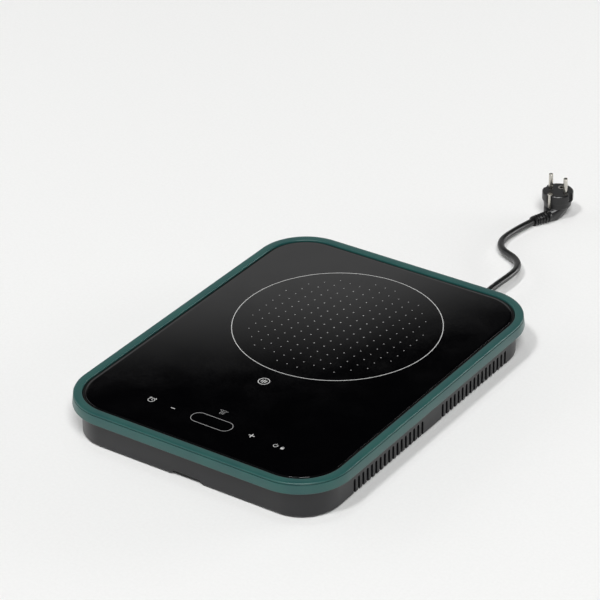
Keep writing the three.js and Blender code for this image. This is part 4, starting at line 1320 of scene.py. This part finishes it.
def plugPins():
    top, r = plug["top"], plug["pinRadius"]
    tip = top + plug["pinLength"]
    profile = [(0, top - 5.7), (r, top - 5.7), (r, tip - 2.2)]
    profile += [(r - 0.9 + px, tip - 1.4 + py) for px, py in arc((0, 0), 0.9, 0, 70, 5)]
    profile += [(r * 0.45, tip - 0.35), (0, tip - 0.3)]
    item = turnedPiece("pin", profile, nickelBrass, 36)
    places = [(-plug["pinGap"] / 2, 0, 0), (plug["pinGap"] / 2, 0, 0)]
    pins = copiesAt("plug_pins", item, places, nickelBrass)
    turnMesh(pins, plugTurn())
    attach(pins, "casing")
    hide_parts("plug_pin_left", "plug_pin_right")
    return pins


def earthStrips():
    # a narrow spring strip in each side slot, with a wider tip bent in over the face
    outside, thick, top = plug["radius"] - 0.6, 1.2, plug["top"] + 0.3
    inside = outside - thick
    foot = plug["clipBottom"]
    upright = [(outside, foot), (outside, top - 0.2), (inside, top - 0.2), (inside, foot)]
    tip = [(outside, top - 0.2), (outside, top + thick - 0.8)]
    tip += arc((outside - 0.8, top + thick - 0.8), 0.8, 0, 90, 5)[1:]
    tip += [(inside - 2.6, top + thick), (inside - 3, top + thick - 0.4), (inside - 3, top)]
    tip += [(inside - 0.4, top), (inside, top - 0.2)]
    strips = []
    for side in (1, -1):
        turn = Matrix.Rotation(math.pi / 2 * side, 4, "Z") @ Matrix.Rotation(math.pi / 2, 4, "X")
        for outline, half in ((upright, 1.5), (tip, 2.5)):
            strips.append(turnMesh(prism("strip", outline, -half, half, nickelBrass), turn))
    # the earth socket's sleeve, with its rim on the face
    face = plug["top"]
    section = [(2.35, face - 8.5), (2.35, face + 0.12), (3.9, face + 0.12), (3.9, face - 0.4)]
    section += [(2.7, face - 0.4), (2.7, face - 8.5), (2.35, face - 8.5)]
    strips.append(turnedPiece("sleeve", section, nickelBrass, 32, (0, plug["earthAt"], 0)))
    both = weld("earth_strips", strips)
    closeUp(both)
    crisp(both, 35)
    turnMesh(both, plugTurn())
    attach(both, "casing")
    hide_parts("earth_clip_front", "earth_clip_rear")
    return both


def plugRelief():
    # tapered ribbed relief on a curve from the cord's end to the plug's nose
    end, before = Vector(cordRoute[-1]), Vector(cordRoute[-2])
    heading = (end - before).normalized()
    start = end + heading * 0.3
    noseY, noseZ, _ = plug["nose"]
    turn = Matrix.Rotation(math.radians(plug["yaw"]), 3, "Z")
    nose = turn @ Vector((0, noseY - 0.3, noseZ)) + Vector((*plug["place"], 0))
    forward = turn @ Vector((0, 1, 0))
    reach = (nose - start).length / 3
    handles = [start, start + heading * reach, nose - forward * reach, nose]
    line = []
    for i in range(41):
        t = i / 40
        weights = ((1 - t) ** 3, 3 * t * (1 - t) ** 2, 3 * t ** 2 * (1 - t), t ** 3)
        line.append(sum((w * p for w, p in zip(weights, handles)), Vector()))
    small, large = plug["relief"]
    relief = sleeveAlong("plug_sleeve", line, {
        "Rings": 140, "Ribs": 5.0, "Start Radius": small * mm, "End Radius": large * mm,
        "Groove": plug["reliefGroove"] * mm, "Plain Start": 0.12, "Plain End": 0.92,
    }, plugPvc)
    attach(relief, "casing")
    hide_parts("plug_relief")
    return relief


plugPieces = [plugBody(), plugPins(), earthStrips(), plugRelief()]
print("plug moulded")


# inner pieces keep the frame's own shapes, each with its finish
finishes = {
    "coil_carrier": carrierNylon,
    "sensor_cap": carrierNylon,
    "coil_winding": copperWire,
    "line_choke": copperWire,
    "mica_sheet": micaPaper,
    "sensor_spring": zincSteel,
    "fan_frame": fanPbt,
    "fan_rotor": fanPbt,
    "power_board": boardGreen,
    "control_board": boardGreen,
    "heat_sink": drawnAluminium,
    "power_transistor": deviceEpoxy,
    "bridge_rectifier": deviceEpoxy,
    "resonance_capacitor": deviceEpoxy,
    "buzzer": deviceEpoxy,
    "display_module": deviceEpoxy,
    "cord_clamp": deviceEpoxy,
    "filter_capacitor": capacitorFilm,
    "inner_lead": cordPvc,
}
for number in range(1, 7):
    finishes[f"ferrite_bar_{number}"] = ferriteGrey
for number in range(1, 5):
    finishes[f"touch_pad_{number}"] = footRubber


def finishInside():
    for name, material in finishes.items():
        slots = nodes[name].data.materials
        slots.clear()
        slots.append(material)


finishInside()
print("inner pieces finished")
